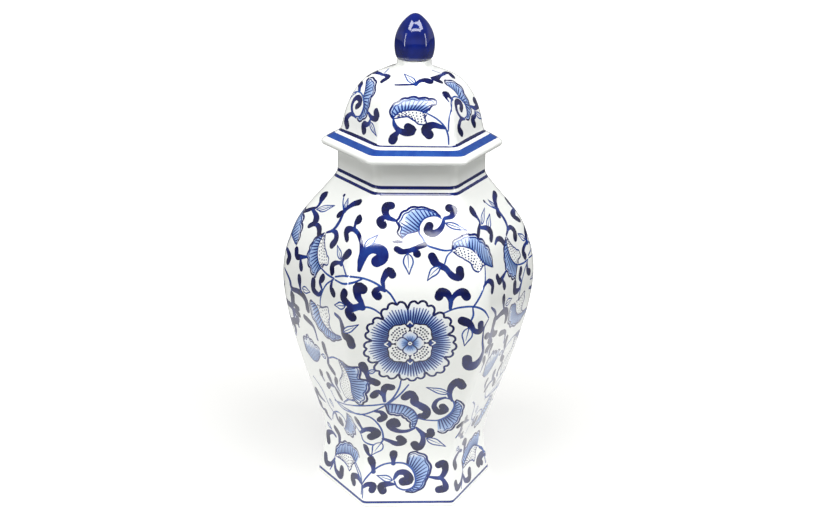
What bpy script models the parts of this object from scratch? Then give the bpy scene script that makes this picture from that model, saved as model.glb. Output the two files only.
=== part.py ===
"""Hexagonal lidded ginger jar in glazed porcelain.

Three cast pieces: the jar body, the domed lid that drops into its neck, and the bud
finial that is luted on top of the lid. Metres, +Z up, the origin under the middle of
the foot, and the flat sides facing -Y and +Y. Every piece is one loft of six-sided
rings with rounded corners, so a section is written as stations: the distance from the
axis to the flat, the height, and the radius that rounds the six corners.
"""

import math
from typing import NamedTuple

import bmesh
import bpy
from mathutils import Vector
from mathutils.geometry import interpolate_bezier

MM = 0.001
SIDES = 6
CORNER_STEPS = 4
CURVE_STEPS = 7
ROUNDEST = 0.92  # a ring's corner radius is at most this share of its flat

# Jar body, outside. A flat is measured from the axis, so it is half the width across flats.
FOOT_FLAT = 57.6
FOOT_EDGE = 0.9
WAIST_FLAT = 53.6
WAIST_HEIGHT = 34.0
BELLY_FLAT = 81.8
BELLY_HEIGHT = 163.0
NECK_FLAT = 47.1
NECK_ROOT_HEIGHT = 240.0
NECK_FILLET = 3.0
MOUTH_HEIGHT = 261.2
MOUTH_EDGE = 1.5
FOOT_CORNER = 5.0
WAIST_CORNER = 7.0
BELLY_CORNER = 14.0
NECK_CORNER = 9.0

# Jar body, inside and underneath.
WALL = 5.0
FLOOR = 6.0
FLOOR_FILLET = 6.0
FOOT_RING_WIDTH = 8.0
FOOT_RECESS = 3.6

# Lid. It rests on the mouth, and its collar drops into the neck.
SEAT_GAP = 0.3
COLLAR_PLAY = 1.8
COLLAR_WALL = 4.5
COLLAR_DEPTH = 12.0
FLANGE_FLAT = 57.6
FLANGE_EDGE = 6.0
FLANGE_EDGE_ROUND = 2.4
FLANGE_CORNER = 5.0
FLANGE_RISE = 11.3
DOME_BASE_FLAT = 45.6
DOME_BASE_CORNER = 9.0
DOME_HEIGHT = 46.7
DOME_WALL = 4.5
BOSS_FLAT = 11.5
BOSS_HEIGHT = 4.4
BOSS_CORNER = 6.0
VENT_RADIUS = 2.5

# Finial, a hollow bud with the lid's vent running up into it.
LUTE_GAP = 0.3
BUD_BASE_FLAT = 11.7
BUD_FLAT = 13.2
BUD_WIDEST = 10.0
BUD_HEIGHT = 31.6
BUD_CORNER = 6.0
BUD_WALL = 3.5

# Shares that shape a curve between two stations, not sizes.
WAIST_PULL = (0.32, 0.70)
FLANK_PULL = (0.16, 0.36)
SHOULDER_PULL = (0.61, 0.23, 0.28)
DOME_PULL = (0.83, 0.215, 0.13, 0.475)
BUD_PULL = (0.60, 0.03, 0.36)


class Station(NamedTuple):
    """One ring: distance from the axis to the flat, height, and corner radius, in mm."""

    flat: float
    height: float
    corner: float


def clear_scene():
    for obj in list(bpy.data.objects):
        bpy.data.objects.remove(obj, do_unlink=True)


def curve(start, pull_start, pull_end, end):
    """Stations along a cubic curve from start to end; the two pulls are (flat, height)."""
    knots = [Vector((p[0], p[1], 0.0)) for p in (start, pull_start, pull_end, end)]
    points = interpolate_bezier(*knots, CURVE_STEPS)
    stations = []
    for i, point in enumerate(points):
        share = i / (len(points) - 1)
        corner = start.corner + (end.corner - start.corner) * share
        stations.append(Station(point.x, point.y, corner))
    return stations


def arc(centre_flat, centre_height, radius, start_deg, end_deg, corner, steps=3):
    """Stations along a circular arc in the section, such as a fillet or a rolled edge."""
    stations = []
    for i in range(steps + 1):
        angle = math.radians(start_deg + (end_deg - start_deg) * i / steps)
        flat = centre_flat + radius * math.cos(angle)
        stations.append(Station(flat, centre_height + radius * math.sin(angle), corner))
    return stations


def inset(stations, depth):
    """The same section moved inwards by depth, square to its own slope."""
    moved = []
    for i, station in enumerate(stations):
        before = stations[max(i - 1, 0)]
        after = stations[min(i + 1, len(stations) - 1)]
        along = Vector((after.flat - before.flat, after.height - before.height))
        along.normalize()
        flat = station.flat - along.y * depth
        height = station.height + along.x * depth
        moved.append(Station(flat, height, max(station.corner - depth, depth / 2)))
    return moved


def between(stations, lowest, highest):
    """The stations whose height lies strictly between two heights."""
    return [s for s in stations if lowest < s.height < highest]


def flat_at(stations, height):
    """The section's flat at a height, for a section that rises all the way."""
    for below, above in zip(stations, stations[1:]):
        if below.height <= height <= above.height:
            share = (height - below.height) / max(above.height - below.height, 1e-9)
            return below.flat + (above.flat - below.flat) * share
    return stations[-1].flat if height > stations[-1].height else stations[0].flat


def ring(bm, station):
    """The corners of a hexagon with rounded corners, its flats facing -Y and +Y."""
    corner = min(station.corner, ROUNDEST * station.flat)
    reach = (station.flat - corner) / math.cos(math.pi / SIDES)
    verts = []
    for side in range(SIDES):
        out = 2 * math.pi * (side + 0.5) / SIDES - math.pi / 2
        for step in range(CORNER_STEPS + 1):
            turn = out + (step / CORNER_STEPS - 0.5) * 2 * math.pi / SIDES
            x = reach * math.cos(out) + corner * math.cos(turn)
            y = reach * math.sin(out) + corner * math.sin(turn)
            verts.append(bm.verts.new((x * MM, y * MM, station.height * MM)))
    return verts


def skin(bm, lower, upper):
    """A band of quads between two rings."""
    for i in range(len(lower)):
        bm.faces.new((lower[i - 1], lower[i], upper[i], upper[i - 1]))


def loft(name, stations, material, closed=False):
    """A solid through all the stations: capped at both ends, or joined end to start."""
    bm = bmesh.new()
    rings = [ring(bm, station) for station in stations]
    pairs = list(zip(rings, rings[1:]))
    if closed:
        pairs.append((rings[-1], rings[0]))
    else:
        bm.faces.new(rings[0])
        bm.faces.new(rings[-1])
    for lower, upper in pairs:
        skin(bm, lower, upper)
    bmesh.ops.recalc_face_normals(bm, faces=bm.faces)
    mesh = bpy.data.meshes.new(name)
    bm.to_mesh(mesh)
    bm.free()
    mesh.shade_smooth()
    mesh.set_sharp_from_angle(angle=math.radians(35))
    mesh.materials.append(material)
    obj = bpy.data.objects.new(name, mesh)
    bpy.context.scene.collection.objects.link(obj)
    return obj


def glazed(name, colour, roughness):
    """A glazed ceramic finish."""
    material = bpy.data.materials.new(name)
    material.use_nodes = True
    shader = material.node_tree.nodes["Principled BSDF"]
    shader.inputs["Base Color"].default_value = (*colour, 1.0)
    shader.inputs["Roughness"].default_value = roughness
    shader.inputs["Metallic"].default_value = 0.0
    material.diffuse_color = (*colour, 1.0)
    return material


def body_outside():
    """The body's outer section, from the foot's lower edge up to the mouth's outer edge."""
    foot = Station(FOOT_FLAT, FOOT_EDGE, FOOT_CORNER)
    waist = Station(WAIST_FLAT, WAIST_HEIGHT, WAIST_CORNER)
    belly = Station(BELLY_FLAT, BELLY_HEIGHT, BELLY_CORNER)
    root = Station(NECK_FLAT + NECK_FILLET / 2, NECK_ROOT_HEIGHT, NECK_CORNER)
    splay = foot.flat - waist.flat
    swell = belly.height - waist.height
    slope = root.height - belly.height
    drop = belly.flat - root.flat
    stations = curve(
        foot,
        (foot.flat - splay * 0.4, waist.height * WAIST_PULL[0]),
        (waist.flat, waist.height * WAIST_PULL[1]),
        waist,
    )
    stations += curve(
        waist,
        (waist.flat, waist.height + swell * FLANK_PULL[0]),
        (belly.flat, belly.height - swell * FLANK_PULL[1]),
        belly,
    )[1:]
    stations += curve(
        belly,
        (belly.flat, belly.height + slope * SHOULDER_PULL[0]),
        (root.flat + drop * SHOULDER_PULL[2], root.height - slope * SHOULDER_PULL[1]),
        root,
    )[1:]
    stations.append(Station(NECK_FLAT, NECK_ROOT_HEIGHT + NECK_FILLET, NECK_CORNER))
    stations.append(Station(NECK_FLAT, MOUTH_HEIGHT - MOUTH_EDGE, NECK_CORNER))
    return stations


def make_body(material):
    """Foot ring, outer wall, rounded mouth, inner wall and floor in one section."""
    outside = body_outside()
    inner_floor = FOOT_RECESS + FLOOR
    mouth_flat = NECK_FLAT - WALL
    ring_flat = FOOT_FLAT - FOOT_RING_WIDTH
    inside = inset(outside, WALL)
    wall = between(inside, inner_floor + FLOOR_FILLET, MOUTH_HEIGHT - 2 * MOUTH_EDGE)
    floor_flat = flat_at(inside, inner_floor + FLOOR_FILLET)
    inner_corner = FOOT_CORNER
    mouth = [
        Station(NECK_FLAT, MOUTH_HEIGHT - MOUTH_EDGE, NECK_CORNER),
        Station(NECK_FLAT - MOUTH_EDGE / 3, MOUTH_HEIGHT - MOUTH_EDGE / 3, NECK_CORNER),
        Station(NECK_FLAT - MOUTH_EDGE, MOUTH_HEIGHT, NECK_CORNER),
        Station(mouth_flat + MOUTH_EDGE, MOUTH_HEIGHT, NECK_CORNER - MOUTH_EDGE),
        Station(mouth_flat, MOUTH_HEIGHT - MOUTH_EDGE, NECK_CORNER - WALL),
    ]
    foot = [
        Station(ring_flat - FOOT_EDGE, FOOT_RECESS, inner_corner),
        Station(ring_flat, 0.0, inner_corner),
        Station(FOOT_FLAT - FOOT_EDGE, 0.0, FOOT_CORNER - FOOT_EDGE),
    ]
    fillet = arc(
        floor_flat - FLOOR_FILLET,
        inner_floor + FLOOR_FILLET,
        FLOOR_FILLET,
        0,
        -90,
        inner_corner,
    )
    section = foot + outside[:-1] + mouth + wall[::-1] + fillet
    return loft("jar_body", section, material)


def dome_outside(seat):
    """The dome's outer section, from the flange up to the boss that carries the finial."""
    base = Station(DOME_BASE_FLAT, seat + FLANGE_RISE, DOME_BASE_CORNER)
    crown = Station(BOSS_FLAT + 0.6, base.height + DOME_HEIGHT, BOSS_CORNER)
    reach = base.flat - crown.flat
    return curve(
        base,
        (base.flat - reach * DOME_PULL[1], base.height + DOME_HEIGHT * DOME_PULL[0]),
        (crown.flat + reach * DOME_PULL[3], crown.height - DOME_HEIGHT * DOME_PULL[2]),
        crown,
    )


def boss_top():
    """Height of the flat that the finial is luted to."""
    return MOUTH_HEIGHT + SEAT_GAP + FLANGE_RISE + DOME_HEIGHT + BOSS_HEIGHT


def make_lid(material):
    """Vent, boss, dome, flange and collar, joined end to start round the vent."""
    seat = MOUTH_HEIGHT + SEAT_GAP
    top = boss_top()
    dome = dome_outside(seat)
    collar_flat = NECK_FLAT - WALL - COLLAR_PLAY
    collar_corner = max(NECK_CORNER - WALL - COLLAR_PLAY / 2, 2.0)
    collar_inner = collar_flat - COLLAR_WALL
    vault = inset(dome, DOME_WALL)
    vault = [s for s in vault if VENT_RADIUS * 2 < s.flat < collar_inner]
    roof = vault[-1].height
    vent = [
        Station(VENT_RADIUS, roof, VENT_RADIUS),
        Station(VENT_RADIUS, top, VENT_RADIUS),
        Station(BOSS_FLAT - 0.4, top, BOSS_CORNER),
        Station(BOSS_FLAT, top - 0.4, BOSS_CORNER),
        Station(BOSS_FLAT, top - BOSS_HEIGHT + 0.8, BOSS_CORNER),
    ]
    edge_top = seat + FLANGE_EDGE
    rounding = FLANGE_EDGE_ROUND
    flange = [Station(DOME_BASE_FLAT + 1.6, dome[0].height - 0.9, DOME_BASE_CORNER)]
    flange += arc(
        FLANGE_FLAT - rounding, edge_top, rounding, 70, 0, FLANGE_CORNER + rounding
    )
    flange += arc(
        FLANGE_FLAT - rounding, seat + rounding, rounding, 0, -90, FLANGE_CORNER
    )
    collar = [
        Station(collar_flat, seat, collar_corner),
        Station(collar_flat, seat - COLLAR_DEPTH + 1.0, collar_corner),
        Station(collar_flat - 1.0, seat - COLLAR_DEPTH, collar_corner),
        Station(collar_inner, seat - COLLAR_DEPTH, collar_corner),
        Station(collar_inner, min(vault[0].height - 2.0, seat + 4.0), collar_corner),
    ]
    section = vent + dome[::-1] + flange + collar + vault
    return loft("lid", section, material, closed=True)


def make_finial(material):
    """A hollow bud: inner cavity, vent, base and outer skin up to the tip."""
    base_height = boss_top() + LUTE_GAP
    tip = base_height + BUD_HEIGHT
    base = Station(BUD_BASE_FLAT, base_height + 0.5, BUD_CORNER)
    widest = Station(BUD_FLAT, base_height + BUD_WIDEST, BUD_CORNER)
    point = Station(0.25, tip, BUD_CORNER)
    rise = tip - widest.height
    lower = curve(
        base,
        (base.flat + (widest.flat - base.flat) * 0.55, base.height + BUD_WIDEST * 0.3),
        (widest.flat, widest.height - BUD_WIDEST * 0.35),
        widest,
    )
    upper = curve(
        widest,
        (widest.flat, widest.height + rise * BUD_PULL[0]),
        (widest.flat * BUD_PULL[2], tip - rise * BUD_PULL[1]),
        point,
    )[1:]
    outside = lower + upper
    cavity = inset(outside, BUD_WALL)
    cavity = [s for s in cavity if s.flat > VENT_RADIUS]
    floor = base_height + BUD_WALL
    cavity = [s for s in cavity if s.height > floor + BUD_WALL]
    inside = cavity[::-1]
    inside.append(Station(BUD_BASE_FLAT - BUD_WALL - 1.0, floor + 1.0, BUD_CORNER))
    inside += [
        Station(VENT_RADIUS, floor, VENT_RADIUS),
        Station(VENT_RADIUS, base_height, VENT_RADIUS),
        Station(BUD_BASE_FLAT - 0.5, base_height, BUD_CORNER),
    ]
    return loft("finial", inside + outside, material)


def main():
    clear_scene()
    porcelain = glazed("glazed_porcelain", (0.86, 0.86, 0.82), 0.08)
    cobalt = glazed("cobalt_glaze", (0.012, 0.02, 0.22), 0.06)
    make_body(porcelain)
    make_lid(porcelain)
    make_finial(cobalt)


main()
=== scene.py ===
"""The hexagonal ginger jar: painted porcelain body, painted lid and cobalt finial.

Each porcelain piece has a section, a smooth line of stations swept round six flat sides
with rounded corners. Its outside is unrolled flat, the brushwork is laid out on it in
millimetres, and one triangulation follows every brush edge before the skin is rolled back
round the section. So the painting is the surface itself, under one glaze, and each corner of
each triangle holds how much cobalt it carries.
"""

import logging
import math
from dataclasses import dataclass
from typing import Callable, Iterable, NamedTuple, Optional

import bmesh
import bpy
import numpy as np
from mathutils import Matrix, Vector
from mathutils.geometry import delaunay_2d_cdt


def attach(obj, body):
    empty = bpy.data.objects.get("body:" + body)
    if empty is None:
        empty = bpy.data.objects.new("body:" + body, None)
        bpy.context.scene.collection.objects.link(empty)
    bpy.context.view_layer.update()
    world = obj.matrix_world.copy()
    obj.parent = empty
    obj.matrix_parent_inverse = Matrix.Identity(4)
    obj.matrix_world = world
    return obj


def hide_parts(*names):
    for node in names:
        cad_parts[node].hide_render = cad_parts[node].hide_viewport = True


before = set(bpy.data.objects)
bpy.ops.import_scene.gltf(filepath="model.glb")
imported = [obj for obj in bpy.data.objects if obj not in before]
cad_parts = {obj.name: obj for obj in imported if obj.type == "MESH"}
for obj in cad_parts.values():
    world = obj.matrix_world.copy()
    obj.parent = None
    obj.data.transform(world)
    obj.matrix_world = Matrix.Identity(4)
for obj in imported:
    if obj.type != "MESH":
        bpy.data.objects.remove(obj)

LOG = logging.getLogger("ginger_jar")
MM = 0.001
SIDES = 6
SEAM = -3.5  # the unrolled skin starts and ends at this corner, at the back
SEAM_GAP = 0.002  # strokes stop this share of a side short of the seam
BORDER = 0.6  # mm, strokes stay this far from a skin's lower and upper border
MOST_BEND = 5.0  # degrees that a section may turn between two rows of its skin
HALF_SIDE = math.tan(math.pi / SIDES)  # half a side's length, for each mm from the middle to the flat
HAIRLINE = 0.3  # mm, a line with a smaller half width has a blunt end
FINE = 0.7  # mm, and one with a half width up to this has a pointed end
THICK = 1.2  # mm, a line keeps points on its spine where its half width is more than this
CHART_FOOT = 0.2  # the painted skin is charted above this height, and the plain faces below it
INK = "ink"
UV = "OFBake"

Point = tuple[float, float]
Shade = Callable[[np.ndarray], np.ndarray]  # ink at points of the design
Edges = list[bmesh.types.BMEdge]


def linear(hex_colour: str) -> tuple[float, float, float, float]:
    """Turns an sRGB hex colour to a linear one.

    Args:
        hex_colour: Six hex digits, such as "F4F2EC".

    Returns:
        Red, green, blue and alpha, linear.
    """
    channels = [int(hex_colour[i : i + 2], 16) / 255 for i in (0, 2, 4)]
    flat = [c / 12.92 if c <= 0.04045 else ((c + 0.055) / 1.055) ** 2.4 for c in channels]
    return (*flat, 1.0)


# ---------------------------------------------------------------- sections


class Station(NamedTuple):
    """One place on a section: height, distance to the flat, and corner radius, in mm."""

    height: float
    flat: float
    corner: float


class Section:
    """A smooth line through stations, measured along its own length."""

    def __init__(self, stations: Iterable[Station], steps: int = 24) -> None:
        """Fits the line.

        Args:
            stations: The stations in order, upwards.
            steps: Samples between two stations.
        """
        rows = smooth(np.array([tuple(s) for s in stations], float), steps)
        self.rows = rows
        span = np.hypot(np.diff(rows[:, 0]), np.diff(rows[:, 1]))
        self.run = np.concatenate([[0.0], np.cumsum(span)])
        self.length = float(self.run[-1])
        self.slope = np.stack([np.gradient(rows[:, i], self.run) for i in range(3)], 1)

    def at(self, run: np.ndarray) -> np.ndarray:
        """Height, flat and corner radius at distances along the line."""
        return np.stack([np.interp(run, self.run, self.rows[:, i]) for i in range(3)], -1)

    def slope_at(self, run: np.ndarray) -> np.ndarray:
        """How fast height, flat and corner radius change along the line."""
        return np.stack([np.interp(run, self.run, self.slope[:, i]) for i in range(3)], -1)

    def run_at(self, height: float) -> float:
        """Distance along the line at a height, for a line that rises all the way."""
        return float(np.interp(height, self.rows[:, 0], self.run))

    def width(self, run: np.ndarray) -> np.ndarray:
        """Width of one side, from mid-corner to mid-corner.

        Args:
            run: Distances along the line.

        Returns:
            The width at each, in mm.
        """
        place = self.at(run)
        flat, corner = place[..., 1], place[..., 2]
        return 2 * ((flat - corner) * HALF_SIDE + corner * math.pi / SIDES)

    def courses(self, longest: float, bend_deg: float) -> np.ndarray:
        """Row distances that are close together where the line bends.

        Args:
            longest: The longest step along the line, in mm.
            bend_deg: The most that the line may turn in one step.

        Returns:
            Distances along the line, from its start to its end.
        """
        turn = np.unwrap(np.arctan2(self.slope[:, 0], self.slope[:, 1]))
        bend = np.abs(np.gradient(turn, self.run)) / math.radians(bend_deg)
        density = np.maximum(bend, 1 / longest)
        steps = np.diff(self.run) * (density[1:] + density[:-1]) / 2
        total = np.concatenate([[0.0], np.cumsum(steps)])
        count = math.ceil(total[-1])
        return np.interp(np.linspace(0, total[-1], count + 1), total, self.run)


def smooth(points: np.ndarray, steps: int) -> np.ndarray:
    """A centripetal curve through points.

    Args:
        points: Rows of coordinates.
        steps: Samples between two points.

    Returns:
        The sampled curve, with the last point.
    """
    padded = np.vstack([2 * points[0] - points[1], points, 2 * points[-1] - points[-2]])
    gaps = np.maximum(np.linalg.norm(np.diff(padded[:, :2], axis=0), axis=1), 1e-6) ** 0.5
    out = []
    share = np.linspace(0, 1, steps, endpoint=False)[:, None]
    for i in range(len(points) - 1):
        a, b, c, d = padded[i : i + 4]
        before, here, after = gaps[i : i + 3]
        leave = (b - a) / before - (c - a) / (before + here) + (c - b) / here
        arrive = (c - b) / here - (d - b) / (here + after) + (d - c) / after
        leave, arrive = leave * here, arrive * here
        s2, s3 = share**2, share**3
        curve = (2 * s3 - 3 * s2 + 1) * b + (s3 - 2 * s2 + share) * leave
        out.append(curve + (3 * s2 - 2 * s3) * c + (s3 - s2) * arrive)
    return np.vstack([*out, points[-1:]])


def wrap(turn: np.ndarray, place: np.ndarray, slope: np.ndarray) -> tuple[np.ndarray, np.ndarray]:
    """Rolls unrolled places round the six sides.

    Args:
        turn: Place round the jar, in sides, 0 at the middle of the front.
        place: Height, flat and corner radius at each.
        slope: How fast those change along the section.

    Returns:
        Positions in metres, and unit normals.
    """
    height, flat, corner = place[..., 0], place[..., 1], place[..., 2]
    side = np.round(turn)
    reach = (flat - corner) * HALF_SIDE
    across = (turn - side) * 2 * (reach + corner * math.pi / SIDES)
    sign = np.sign(across)
    bend = np.maximum(np.abs(across) - reach, 0) / np.maximum(corner, 1e-6)
    x = sign * (np.minimum(np.abs(across), reach) + corner * np.sin(bend))
    y = -(flat - corner) - corner * np.cos(bend)
    grow = (slope[..., 1] - slope[..., 2]) * (np.cos(bend) + HALF_SIDE * np.sin(bend)) + slope[..., 2]
    nx, ny = sign * np.sin(bend) * slope[..., 0], -np.cos(bend) * slope[..., 0]
    c, s = np.cos(side * math.pi / 3), np.sin(side * math.pi / 3)
    where = np.stack([x * c - y * s, x * s + y * c, height], -1) * MM
    normal = np.stack([nx * c - ny * s, nx * s + ny * c, -grow], -1)
    return where, normal / np.maximum(np.linalg.norm(normal, axis=-1, keepdims=True), 1e-9)


# ---------------------------------------------------------------- brushwork


class Stroke(NamedTuple):
    """One closed brush mark on a side: its edge, points inside it, and its ink."""

    side: int
    edge: np.ndarray
    inside: np.ndarray
    shade: Shade


def even(tone: float) -> Shade:
    """Ink of the same strength all over."""
    return lambda points: np.full(len(points), tone)


def along(spine: np.ndarray, tones: np.ndarray) -> Shade:
    """Ink that changes along a spine.

    Args:
        spine: Points along a mark.
        tones: Ink at each of them.

    Returns:
        The ink at any points, taken from the nearest point of the spine.
    """

    def shade(points: np.ndarray) -> np.ndarray:
        """Ink of the spine's nearest point."""
        gap = np.linalg.norm(points[:, None] - spine[None], axis=2)
        return tones[gap.argmin(axis=1)]

    return shade


def radial(centre: Point, radii: Iterable[float], tones: Iterable[float]) -> Shade:
    """Ink that changes with the distance from a centre."""
    return lambda points: np.interp(np.hypot(*(points - np.array(centre)).T), list(radii), list(tones))


class Brush:
    """Lays strokes on the sides of one skin. Across is mm from the middle, up is mm of run."""

    def __init__(self, seed: int) -> None:
        """Starts with no strokes.

        Args:
            seed: Seed of the small unevenness of hand work.
        """
        self.strokes: list[Stroke] = []
        self.hand = np.random.default_rng(seed)
        self.side = 0
        self.shift = np.zeros(2)
        self.lift = 0.0

    def at_side(self, side: int, shift: Point = (0.0, 0.0)) -> None:
        """Moves the brush to a side, shifted if asked."""
        self.side = side
        self.shift = np.array(shift, float)

    def put(self, points: np.ndarray) -> np.ndarray:
        """Points of the design, put on the side."""
        return points + self.shift + (0.0, self.lift)

    def fill(self, edge: np.ndarray, shade: Shade, inside: Optional[np.ndarray] = None) -> None:
        """Lays one closed mark.

        Args:
            edge: The mark's outline.
            shade: Ink at points of the design.
            inside: Points inside the mark that should carry their own ink.
        """
        shift = self.shift + (0.0, self.lift)

        def placed(points: np.ndarray) -> np.ndarray:
            """Ink at points of the side."""
            return shade(points - shift)

        kept = np.zeros((0, 2)) if inside is None else self.put(inside)
        self.strokes.append(Stroke(self.side, self.put(edge), kept, placed))

    def line(self, points: Iterable[Point], half: Iterable[float], tones: Iterable[float] = (0.9, 0.9),
             closed: bool = False, step: float = 1.1) -> None:
        """Draws the brush along a smooth line.

        Args:
            points: Points that the line passes through.
            half: Half widths, spread evenly along the line.
            tones: Ink, spread evenly along the line.
            closed: True if the line ends where it starts.
            step: Sample spacing in mm.
        """
        knots = np.array(list(points), float)
        spine = smooth(knots, 10) if len(knots) > 2 else knots
        gap = np.concatenate([[0], np.cumsum(np.linalg.norm(np.diff(spine, axis=0), axis=1))])
        count = max(2, math.ceil(gap[-1] / step) + 1)
        marks = np.linspace(0, gap[-1], count)
        spine = np.stack([np.interp(marks, gap, spine[:, i]) for i in (0, 1)], 1)
        share = marks / max(gap[-1], 1e-9)
        half, tones = list(half), list(tones)
        wide = np.interp(share, np.linspace(0, 1, len(half)), half)
        ink = np.interp(share, np.linspace(0, 1, len(tones)), tones)
        way = np.gradient(spine, axis=0)
        if closed:
            way[0] = way[-1] = (spine[1] - spine[0]) + (spine[-1] - spine[-2])
        way /= np.maximum(np.linalg.norm(way, axis=1, keepdims=True), 1e-9)
        side = np.stack([-way[:, 1], way[:, 0]], 1)
        left, right = spine + side * wide[:, None], spine - side * wide[:, None]
        ends = [self.cap(spine[-1], way[-1], wide[-1]), self.cap(spine[0], -way[0], wide[0])]
        edge = np.vstack([right, ends[0], left[::-1], ends[1]])
        thick = wide > THICK
        self.fill(edge, along(spine, ink), spine[thick])

    @staticmethod
    def cap(end: np.ndarray, way: np.ndarray, radius: float) -> np.ndarray:
        """The round end of a line.

        Args:
            end: The line's last point.
            way: The line's direction there.
            radius: Half the line's width there.

        Returns:
            Points from the line's right to its left.
        """
        count = 0 if radius < HAIRLINE else 1 if radius < FINE else 2 + int(radius * 2)
        angles = np.linspace(-math.pi / 2, math.pi / 2, count + 2)[1:-1]
        side = np.array([-way[1], way[0]])
        return end + radius * (np.outer(np.cos(angles), way) + np.outer(np.sin(angles), side))

    def vine(self, *flat: float, half: float = 0.72, tone: float = 0.8) -> None:
        """A thin stem through points."""
        self.line(pairs(flat), (half * 0.8, half, half * 1.05, half * 0.9), (tone, tone * 0.92, tone))

    def comma(self, *flat: float, head: float = 2.7, tail: float = 0.9, tone: float = 1.0) -> None:
        """A loaded-brush mark: a round head that draws out along its points into a tail."""
        half = (head, head * 1.06, head * 0.96, head * 0.76, head * 0.62, head * 0.5, tail)
        self.line(pairs(flat), half, (tone, tone, tone * 0.9, tone * 0.84), step=0.9)

    def twin(self, *flat: float, head: float = 2.8, other: float = 0.0, waist: float = 0.55) -> None:
        """A mark with a round head at both ends.

        Args:
            flat: Across and up values along the mark.
            head: Radius of its first head.
            other: Radius of its second head, or 0 for one a little smaller than the first.
            waist: Half width at its middle, as a share of the smaller head.
        """
        other = other or head * 0.95
        middle = min(head, other) * waist
        half = (head, head * 1.06, head * 0.86, middle * 1.15, middle, middle * 1.15, other * 0.9,
                other * 1.06, other)
        self.line(pairs(flat), half, (1.0, 0.98, 0.86, 0.98, 1.0), step=0.9)

    def leaf(self, x: float, y: float, tip_x: float, tip_y: float, width: float = 4.4,
             bend: float = 0.0) -> None:
        """A white leaf with a drawn edge and a rib.

        Args:
            x: Across at its stalk.
            y: Up at its stalk.
            tip_x: Across at its tip.
            tip_y: Up at its tip.
            width: Its width.
            bend: How far its middle bows out to the left.
        """
        start, end = np.array((x, y)), np.array((tip_x, tip_y))
        way = end - start
        side = np.array([-way[1], way[0]]) / np.linalg.norm(way)
        rims = []
        for turn in (1, -1):
            rim = [start, start + way * 0.16 + side * (bend * 0.6 + turn * width * 0.36)]
            rim += [start + way * 0.42 + side * (bend + turn * width * 0.5)]
            rim += [start + way * 0.74 + side * (bend * 0.8 + turn * width * 0.22), end]
            rims.append(rim)
        upper, lower = (smooth(np.array(rim), 5) for rim in rims)
        self.fill(np.vstack([upper, lower[::-1][1:-1]]), even(0.0))
        for rim in rims:
            self.line([tuple(p) for p in rim], (0.4, 0.54, 0.54, 0.36), (0.84, 0.74, 0.84))
        self.line([tuple(start), tuple(start + way * 0.4 + side * bend),
                   tuple(start + way * 0.7 + side * bend)],
                  (0.42, 0.34, 0.16), (0.78, 0.64))

    def dot(self, centre: Point, radius: float, tone: float = 0.95, count: int = 7) -> None:
        """A round dot.

        Args:
            centre: Its middle.
            radius: Its radius.
            tone: Its ink.
            count: Points round it.
        """
        angles = np.arange(count) * 2 * math.pi / count
        ring = np.array(centre) + radius * np.stack([np.cos(angles), np.sin(angles)], 1)
        self.fill(ring, even(tone))

    def fan(self, hinge: tuple, rim: tuple, belly: tuple = (), scallops: int = 5, depth: float = 0.11,
            wash: float = 0.36, pitch: float = 2.5) -> None:
        """A striped, scalloped leaf between a hinge and a rim, with a white dotted belly if asked.

        Args:
            hinge: Across and up values along its hinge.
            rim: Values along its outer edge, from the hinge's start to its end.
            belly: Values along the edge of the dotted part, on the hinge's other side.
            scallops: Lobes along the outer edge.
            depth: Depth of the lobes, as a share of the width.
            wash: Strength of the wash at the hinge.
            pitch: Distance between stripes, in mm.
        """
        count = max(24, 8 * scallops)
        near, far = even_points(pairs(hinge), count), even_points(pairs(rim), count)
        share = np.linspace(0, 1, count)
        lobes = 1 - 1.7 * depth * (1 - np.abs(np.sin(math.pi * scallops * share)) ** 0.6)
        top = near + (far - near) * lobes[:, None]
        span = np.linalg.norm(top - near, axis=1)
        if belly:
            self.belly(near, pairs(belly), count)

        def shade(points: np.ndarray) -> np.ndarray:
            """Ink that is strong at the hinge and stops short of the rim."""
            close = np.linalg.norm(points[:, None] - near[None], axis=2)
            pick = close.argmin(axis=1)
            deep = close[np.arange(len(points)), pick] / np.maximum(span[pick], 1.5)
            return np.interp(deep, (0, 0.3, 0.8, 0.88, 1.0), (wash * 1.5, wash, wash * 0.9, 0.1, 0.06))

        inside = [near + (top - near) * k for k in (0.2, 0.5, 0.8, 0.88)]
        self.fill(np.vstack([near, top[::-1]]), shade, np.vstack([row[1:-1:2] for row in inside]))
        length = np.linalg.norm(np.diff((near + top) / 2, axis=0), axis=1).sum()
        stripes = max(5, int(length / pitch))
        for k in range(stripes):
            mark = (k + 0.7) / (stripes + 0.4) * (count - 1)
            low, high = (np.array([np.interp(mark, range(count), row[:, i]) for i in (0,
                                                                                      1)]) for row in (near,
                                                                                                       top))
            if np.linalg.norm(high - low) < 1.8:
                continue
            reach = 0.7 + 0.1 * self.hand.random()
            ends = [tuple(low + (high - low) * 0.05), tuple(low + (high - low) * reach)]
            self.line(ends, (0.56, 0.52, 0.3), (0.94, 0.84), step=2.5)
        inner = top - (top - near) * (1.9 / np.maximum(span, 2.8))[:, None]
        self.line([tuple(p) for p in inner[1:-1:2]], (0.34, 0.5, 0.5, 0.34), (0.86, 0.8), step=1.2)
        edge = np.vstack([near[:1], top, near[-1:]])
        self.line([tuple(p) for p in edge[::2]], (0.64, 0.82, 0.82, 0.64), (0.98, 0.92, 0.98), step=0.9)
        self.line([tuple(p) for p in near[::2]], (0.45, 0.62, 0.5), (0.88, 0.84))

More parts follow.
